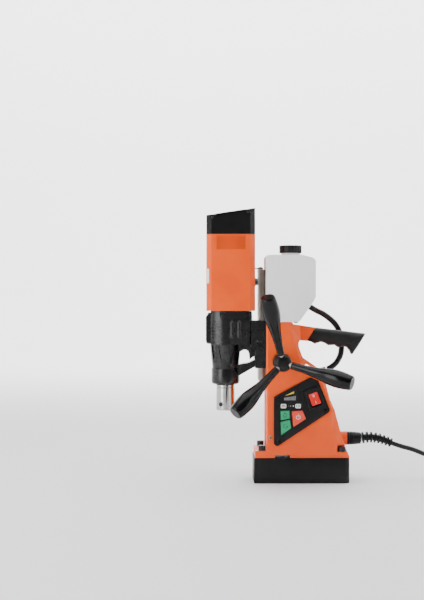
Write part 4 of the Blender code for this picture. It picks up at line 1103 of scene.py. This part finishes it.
def add_tank():
    outline = rounded([
        (TANK_LOW, 269.0, 4.0), (-4.5, 269.0, 8.0), (18.5, 302.0, 12.0), (TANK_HIGH, 311.0, 8.0),
        (TANK_HIGH, 371.0, 5.0), (18.5, 376.0, 5.0), (0.0, 381.0, 8.0), (TANK_LOW, 381.0, 5.0),
    ], 5)
    inside = rounded([
        (TANK_LOW + 2.5, 271.5, 3.0), (-5.9, 271.5, 6.0), (16.3, 303.4, 10.0), (TANK_HIGH - 2.5, 311.8, 6.0),
        (TANK_HIGH - 2.5, 369.6, 4.0), (17.3, 373.8, 4.0), (-0.4, 378.5, 6.0), (TANK_LOW + 2.5, 378.5, 3.0),
    ], 5)
    hollow = prism(inside, "Y", -37.5, 37.5)
    neck = turned([(15.5, 378.0), (15.5, 393.0)], (NECK_X, 0.0, 0.0), sides=64)
    recess = rounded(both_sides([(-65.0, -27.0), (-59.0, -27.0), (-54.0, -23.0), (-43.0, -23.0, 4.0)]), 6)
    wall = rounded(both_sides([(-62.0, -29.5), (-58.5, -29.5), (-53.5, -25.5), (-40.5, -25.5, 5.0)]), 6)
    tools = add(neck) + cut(prism(recess, "Z", 268.0, 382.0))
    item = piece("tank_shell", prism(outline, "Y", -40.0, 40.0), "tank_plastic", "stand", tools,
                 ["coolant_tank"], bevel=5.0, segments=5, angle=35)
    flatten(item)
    room = prism(wall, "Z", 270.0, 380.0)
    space = make_object("space", hollow)
    carve(space, cut(room))
    inner = bmesh.new()
    inner.from_mesh(space.data)
    bmesh.ops.scale(inner, verts=inner.verts, vec=(1 / MM, 1 / MM, 1 / MM))
    bpy.data.objects.remove(space, do_unlink=True)
    tools = cut(inner, rod(12.5, (NECK_X, 0.0, 375.0), (NECK_X, 0.0, 394.0), 64))
    tools += cut(rod(3.0, (-9.0, -20.0, 268.0), (-9.0, -20.0, 274.0), 32))
    carve(item, tools)
    smooth(item.data, 40)
    outlet = [(3.6, 266.9), (3.6, 268.7), (2.7, 268.7), (2.7, 273.0), (1.5, 273.0), (1.5, 266.9)]
    piece("tank_nozzle", turned(outlet, (-9.0, -20.0, 0.0), sides=40, ring=True), "black_plastic", "stand",
          replaces=["tank_outlet"])
    add_tank_sticker()
    add_tank_cap()


def add_tank_sticker():
    sticker = rectangle((-24.0, 24.0), (324.0, 362.0), 3.0, 5)
    piece("tank_sticker", prism(sticker, "X", TANK_HIGH + 0.02, TANK_HIGH + 0.22), "tank_plastic", "stand",
          look="white_print")
    stripe = rectangle((-22.0, 22.0), (339.0, 352.0))
    piece("tank_sticker_band", prism(stripe, "X", TANK_HIGH + 0.23, TANK_HIGH + 0.3), "tank_plastic", "stand",
          look="red_print")


def add_tank_cap():
    """A cap with vertical ridges round its rim."""
    ridges = 24
    loops = []
    for height, shrink in ((385.0, 0.7), (386.0, 0.0), (396.6, 0.0), (397.6, 0.4), (398.0, 1.4)):
        loop = []
        for angle in around(ridges * 6):
            wave = 0.45 * math.cos(ridges * angle)
            radius = 18.5 + max(-0.4, min(0.4, 2 * wave)) - shrink
            loop.append((NECK_X + radius * math.cos(angle), radius * math.sin(angle), height))
        loops.append(loop)
    dish = [(0.0, 397.4), (13.5, 397.4), (14.2, 399.0), (0.0, 399.0)]
    tools = cut(rod(16.0, (NECK_X, 0.0, 384.0), (NECK_X, 0.0, 395.4), 64))
    tools += cut(turned(dish, (NECK_X, 0.0, 0.0), sides=64))
    piece("cap_shell", loft(loops), "black_plastic", "tank_cap", tools, ["tank_cap"], angle=40)


# Control panel

PANEL_OUTLINE = (
    (-47.0, 144.0, 4.0), (14.0, 177.0, 4.0), (27.0, 171.0, 4.0), (47.0, 120.5, 5.0), (-42.0, 61.5, 4.0),
    (-47.0, 66.0, 3.0),
)
PANEL_FRONT = -41.0
KEY_FRONT = -42.2
BUTTONS = {
    "forward_button": ((-36.0, 121.0), (-21.5, 121.5), (-20.6, 108.5), (-35.6, 105.5)),
    "reverse_button": ((-35.6, 102.5), (-20.6, 106.0), (-18.4, 92.5), (-35.0, 80.5)),
    "stop_button": ((-17.3, 120.5), (0.8, 121.3), (6.0, 108.0), (-14.8, 94.0)),
}
ROCKER_CENTRE = (20.7, 140.7)
ROCKER_TILT = math.radians(19.5)
ROCKER_REST = math.radians(-8.0)
ROCKER_RADIUS = 10.0
ROCKER_RISE = 7.0
ROCKER_HOLLOW = 1.5


def panel_place(across, along):
    """A point of the panel from the rocker switch's own directions."""
    c, s = math.cos(ROCKER_TILT), math.sin(ROCKER_TILT)
    return (ROCKER_CENTRE[0] + across * c - along * s, ROCKER_CENTRE[1] + across * s + along * c)


def rocker_quad(width, length, corner=0.0):
    """A rectangle in the rocker switch's own directions."""
    points = [panel_place(*point) for point in rectangle((-width / 2, width / 2), (-length / 2, length / 2))]
    return rounded([(*point, corner) for point in points], 4) if corner else points


def add_panel():
    tools = []
    for outline in BUTTONS.values():
        tools += cut(prism(grown(outline, 0.4), "Y", -42.0, -37.0))
    tools += cut(prism(rocker_quad(21.6, 27.6), "Y", -42.0, -37.0))
    sink = [(3.6, 0.0), (3.6, 1.2), (1.7, 2.8), (1.7, 4.0)]
    head = [(1.6, 1.6), (1.5, 0.4), (2.4, 0.5), (3.0, 1.2), (3.0, 1.5), (1.4, 2.6), (1.4, 9.0), (0.0, 9.0)]
    screws = []
    for x, z in PANEL_SCREWS:
        tools += cut(turned(sink, (x, PANEL_FRONT - 0.4, z), (0, 1, 0), 40))
        place = (x, PANEL_FRONT - 1.3, z)
        screws.append(turned(head, place, (0, 1, 0), 36))
        screws.append(turned([(1.6, 1.6), (0.0, 1.6)], place, (0, 1, 0), 36))
    plate = prism(rounded(PANEL_OUTLINE, 6), "Y", PANEL_FRONT, -38.3)
    piece("panel_plate", plate, "black_plastic", "stand", tools, ["control_panel"], bevel=0.6, angle=35)
    piece("panel_screws", together(*screws), "black_steel", "stand",
          replaces=["panel_screw_1", "panel_screw_2", "panel_screw_3"])
    add_rocker()
    add_keys()
    add_pictograms()


def add_rocker():
    bezel = prism(rocker_quad(27.5, 37.3, 2.0), "Y", -45.5, -41.3)
    tools = add(prism(rocker_quad(21.0, 27.0), "Y", -43.0, -33.0))
    tools += cut(prism(rocker_quad(16.8, 22.3, 0.8), "Y", -47.0, -32.0))
    slope, floor = rocker_quad(19.2, 25.2), rocker_quad(16.2, 21.7)
    tools += cut(hull([(x, -46.0, z) for x, z in slope] + [(x, -43.6, z) for x, z in floor]))
    piece("rocker_frame", bezel, "black_plastic", "stand", tools, ["rocker_bezel"], bevel=0.6, angle=35)
    along = [ROCKER_RADIUS * math.sin(math.radians(15 * step - 60)) for step in range(9)]
    profile = [(-ROCKER_RADIUS, ROCKER_RISE), *((place, rocker_face(place)) for place in along)]
    profile += [(ROCKER_RADIUS, ROCKER_RISE), (10.0, -1.0), (6.0, -5.0), (-6.0, -5.0), (-10.0, -1.0)]
    ends = [[rocker_place(across, *point) for point in profile] for across in (-7.9, 7.9)]
    piece("rocker_key", loft(ends), "red_key", "rocker", replaces=["rocker"], bevel=0.4, angle=40)
    ring = [(math.cos(angle), math.sin(angle)) for angle in around(32)]
    outer = [(1.5 * x, 5.4 + 2.0 * y) for x, y in ring]
    hole = [(1.0 * x, 5.4 + 1.5 * y) for x, y in ring]
    bar = rectangle((-0.3, 0.3), (-7.4, -3.6))
    marks = [closed_band([*rocker_mark(outer), *reversed(rocker_mark(hole))]), loft(rocker_mark(bar))]
    piece("rocker_marks", together(*marks), "red_key", "rocker", look="white_print")


def rocker_face(along):
    """How far the rocker's hollow face stands out, from its place along the rocker."""
    return ROCKER_RISE - ROCKER_HOLLOW * math.cos(math.asin(along / ROCKER_RADIUS))


def rocker_place(across, along, out):
    """A point of the resting rocker from its own three directions."""
    tilted = Matrix.Rotation(ROCKER_REST, 2) @ Vector((along, out))
    x, z = panel_place(across, tilted.x)
    return (x, PANEL_FRONT - tilted.y, z)


def rocker_mark(outline):
    """The bottom and the top loop of a thin raised mark that follows the rocker's face."""
    return [[rocker_place(x, y, rocker_face(y) + lift) for x, y in outline] for lift in (-0.3, 0.12)]


def flat_mark(outline, front):
    """A thin print on a face."""
    return prism(outline, "Y", front - 0.1, front + 0.05)


def circle(centre, radius, angles):
    return [(centre[0] + radius * math.cos(angle), centre[1] + radius * math.sin(angle)) for angle in angles]


def arc_band(centre, radius, width, start, end, steps=28):
    """A curved stripe, with angles in degrees."""
    angles = [math.radians(start + (end - start) * step / steps) for step in range(steps + 1)]
    outer = circle(centre, radius + width / 2, angles)
    return outer + circle(centre, radius - width / 2, angles[::-1])


def add_keys():
    """The three keys, with an arrow on each green one and a power mark on the red one."""
    for name, outline in BUTTONS.items():
        slot, look = ("red_key", "stop_key") if name == "stop_button" else ("green_key", "green_key")
        key = prism(rounded([(*point, 1.0) for point in outline], 4), "Y", KEY_FRONT, -37.0)
        piece(name.replace("button", "key"), key, slot, name, replaces=[name], bevel=0.35, angle=35,
              look=look)
    marks = {
        "forward_button": [arc_band((-28.4, 113.9), 3.1, 0.75, -200, 80),
                           [(-28.2, 118.6), (-28.2, 115.4), (-30.6, 117.0)]],
        "reverse_button": [arc_band((-28.0, 95.8), 3.3, 0.75, -280, 0),
                           [(-26.2, 95.6), (-23.2, 95.6), (-24.7, 93.2)]],
    }
    for name, outlines in marks.items():
        mesh = together(*(flat_mark(outline, KEY_FRONT) for outline in outlines))
        piece(name.replace("button", "arrow"), mesh, "green_key", name, look="dark_print")
    power = [arc_band((-6.6, 110.6), 3.3, 0.85, 125, 415), rectangle((-7.0, -6.2), (110.6, 115.8))]
    mesh = together(*(flat_mark(outline, KEY_FRONT) for outline in power))
    piece("stop_mark", mesh, "red_key", "stop_button", look="white_print")


def add_pictograms():
    """The speed wedge over its bars, and two small rounded squares with dots between them."""
    grey = []
    for number in range(9):
        x = -30.0 + 2.2 * number
        rise = 0.35 * number
        grey.append([(x, 138.6), (x + 1.8, 138.6), (x + 1.8, 143.2 + rise), (x, 143.0 + rise)])
    white = [rectangle((x - 4.6, x + 4.6), (125.4, 132.6), 1.6, 4) for x in (-31.0, -6.8)]
    for centre, radius in (((-23.4, 129.2), 0.35), ((-19.2, 129.2), 0.6), ((-14.7, 129.2), 0.95)):
        white.append(circle(centre, radius, around(20)))
    marks = {"yellow_print": [[(-29.0, 146.0), (-13.5, 150.2), (-13.5, 153.6)]], "grey_print": grey,
             "white_print": white}
    for look, outlines in marks.items():
        mesh = together(*(flat_mark(outline, PANEL_FRONT) for outline in outlines))
        piece("panel_" + look, mesh, "black_plastic", "stand", look=look)
    dark = [
        [(-33.8, 128.4), (-30.4, 128.4), (-30.4, 130.8), (-33.8, 130.0)],
        rectangle((-29.4, -28.2), (127.4, 130.8)), rectangle((-9.8, -8.6), (127.6, 130.8)),
        arc_band((-5.4, 129.2), 1.5, 0.8, 0, 350),
    ]
    mesh = together(*(prism(outline, "Y", PANEL_FRONT - 0.16, PANEL_FRONT - 0.11) for outline in dark))
    piece("panel_dark_print", mesh, "black_plastic", "stand", look="dark_print")


# Feed wheel

SPOKE_CENTRE = Vector((FEED[0], -75.2, FEED[1]))
SPOKE_TILT = math.radians(25.0)
SPOKE_ANGLES = (104.5, 224.5, 344.5)


def smooth_profile(points, steps=5):
    """Turned profile points made smooth."""
    return [(p.x, p.y) for p in smooth_route([(r, h, 0.0) for r, h in points], steps)]


def add_feed_wheel():
    profile = [
        (0.0, 20.0), (8.3, 20.0), (8.3, 0.0), (15.0, 0.0), (15.0, 9.0), (12.4, 11.6), (12.0, 12.6),
        (12.0, 16.0), (14.2, 19.0), (14.2, 29.0), (13.0, 31.6), (11.2, 33.6), (9.0, 34.7), (5.0, 35.0),
        (0.0, 35.0),
    ]
    tools, spokes, collars = [], [], []
    shape = smooth_profile([(6.0, 16.4), (6.3, 28.0), (6.9, 40.0), (9.2, 62.0), (13.0, 82.0), (14.2, 95.0),
                            (13.6, 108.0), (12.2, 118.5)])
    grip = [(0.0, 76.0), (4.3, 76.0), (4.3, 16.4), *shape, (11.4, 121.4), (10.2, 122.5), (0.0, 122.5)]
    flat = math.cos(SPOKE_TILT)
    for number, angle in enumerate(map(math.radians, SPOKE_ANGLES), 1):
        out = Vector((math.cos(angle) * flat, -math.sin(SPOKE_TILT), math.sin(angle) * flat))
        tools += cut(rod(4.3, SPOKE_CENTRE + 7.0 * out, SPOKE_CENTRE + 20.0 * out, 40))
        spokes.append(rod(4.0, SPOKE_CENTRE + 8.0 * out, SPOKE_CENTRE + 75.0 * out, 40))
        piece(f"grip_{number}", turned(grip, SPOKE_CENTRE, out, 64), "grip_plastic", "feed_wheel",
              replaces=[f"feed_grip_{number}"], angle=40)
    names = ["feed_spoke_1", "feed_spoke_2", "feed_spoke_3"]
    piece("spokes", together(*spokes), "ground_steel", "feed_wheel", replaces=names, angle=40)
    hub = turned(profile, (FEED[0], -50.0, FEED[1]), (0, -1, 0), 72)
    piece("hub", hub, "black_plastic", "feed_wheel", tools, ["feed_hub"], bevel=0.4, segments=2, angle=35)


# Glands and plug

RIB_PITCH = 6.9


def bent(stations, sides=40):
    """A round solid in the XZ plane through stations of (x, z, radius)."""
    loops = []
    for index, (x, z, radius) in enumerate(stations):
        before, after = stations[max(index - 1, 0)], stations[min(index + 1, len(stations) - 1)]
        along = Vector((after[0] - before[0], 0.0, after[1] - before[1])).normalized()
        up = Vector((-along.z, 0.0, along.x))
        offsets = [up * math.cos(a) + Vector((0.0, 1.0, 0.0)) * math.sin(a) for a in around(sides)]
        loops.append([Vector((x, 0.0, z)) + radius * offset for offset in offsets])
    return loft(loops)


def add_strain_relief():
    """A sleeve of deep ribs round the cord, thinner to its end."""
    axis = smooth_route([(104.2, 0.0, 71.4), (114.0, 0.0, 72.4), (126.0, 0.0, 72.0), (140.0, 0.0, 68.6),
                         (154.6, 0.0, 62.9)], 40)
    stations = []
    travelled, total = 0.0, 51.6
    for one, two in zip(axis, axis[1:]):
        share = travelled / total
        on_rib = 0.10 < (travelled % RIB_PITCH) / RIB_PITCH < 0.56
        stations.append((one.x, one.z, 9.8 - 2.3 * share if on_rib else 5.6 - 0.5 * share))
        travelled += (two - one).length
    return piece("strain_sleeve", bent(stations), "black_plastic", "stand", replaces=["strain_relief"],
                 bevel=0.35, segments=2, angle=35)


def add_cord_gland():
    profile = [(5.6, -16.0), (5.6, 0.3), (10.6, 0.3), (11.0, 1.0)]
    for n in range(3):
        x = 2.0 + 3.0 * n
        profile += [(11.2, x), (11.2, x + 1.9), (10.5, x + 2.2), (10.5, x + 2.7)]
    profile += [(10.9, 11.4), (10.2, 18.0), (9.8, 23.0), (9.2, 24.0), (8.0, 24.0), (5.6, 24.0)]
    return piece("gland_nut", turned(profile, (78.5, 0.0, 71.0), (1, 0, 0), 72), "black_plastic", "stand",
                 replaces=["cord_gland"], bevel=0.3, segments=2, angle=35)


def add_plug():
    place = (349.5, -22.0, 17.0)
    shape = [(5.0, 0.3), (5.4, 2.2), (4.6, 2.6), (4.6, 3.4), (5.8, 3.8), (6.0, 6.0), (5.1, 6.4), (5.1, 7.2),
             (6.4, 7.6), (6.5, 12.0), (8.2, 14.2), (10.0, 16.0), (13.4, 20.4), (15.5, 24.0), (16.7, 28.0),
             (16.7, 45.0), (15.9, 46.6), (14.8, 47.0)]
    x, y, z = place
    pins = [rod(2.4, (x + side, y + 40.0, z), (x + side, y + 66.0, z), 32) for side in (-9.5, 9.5)]
    starts = [y + 30.0 + 4 * number for number in range(3)]
    grooves = [block((x - 20, x + 20), (start, start + 1.2), (z + 15.6, z + 20)) for start in starts]
    shell = piece("plug_shell", turned(shape, place, (0, 1, 0), 64), "black_plastic", "stand",
                  cut(together(*grooves)), ["mains_plug"], bevel=0.4, segments=2, angle=35)
    metal = piece("plug_pins", together(*pins), "arbor_steel", "stand", bevel=0.9, angle=40)
    return shell, metal


def add_cable_glands():
    pieces = []
    away = Vector((1.0, 1.0, 0.0)).normalized()
    slant = Vector((0.887, 0.0, 0.461)).normalized()
    settings = (
        ("motor_gland", (-82.05, 34.75, 337.0), away, 8.0, 6.0, 12.4, "carriage", "motor_cable_gland"),
        ("rear_gland", (33.5, 22.0, 179.0), slant, 8.5, 8.0, 15.0, "stand", "rear_cable_gland"),
    )
    for name, seat, out, radius, nut, length, body, node in settings:
        profile = [(0.0, nut), (radius - 1.0, nut), (radius - 1.6, nut + 1.8), (6.3, length - 0.6),
                   (5.7, length), (0.0, length)]
        collar = turned(profile, seat, out, 48)
        hexagon = turned([(radius, 0.3), (radius, nut + 0.2)], seat, out, 6)
        pieces.append(piece(name, hexagon, "black_plastic", body, add(collar), [node], bevel=0.5, angle=35))
    return pieces


def add_slide_stop():
    """The thin stop on the slide's top, pointed to the front."""
    outline = [(-77.8, 0.0), (-72.5, -8.0), (-64.3, -24.0), (-64.3, 24.0), (-72.5, 8.0)]
    screw = [(0.0, 3.2), (2.6, 3.2), (3.0, 2.8), (3.0, 1.6), (0.0, 1.6)]
    tools = add(turned(screw, (-68.0, 12.0, 357.9), sides=32), turned(screw, (-68.0, -12.0, 357.9), sides=32))
    mesh = prism(outline, "Z", 357.8, 359.6)
    piece("slide_stop", mesh, "black_steel", "carriage", tools, bevel=0.3, angle=35)


# Putting it together

add_camera()
add_studio()
add_floor()
paint_nodes()
soften_nodes()
add_housing()
add_handle()
add_bolts()
add_tank()
add_panel()
add_feed_wheel()
add_motor_housing()
add_top_cap()
add_gear_housing()
add_nose()
add_arbor()
add_bracket()
add_slide_stop()
add_cord_gland()
sleeve = add_strain_relief()
shell, pins = add_plug()
add_mains_cord((sleeve, shell, pins, add_ties()))
motor_gland, rear_gland = add_cable_glands()
add_motor_cable()
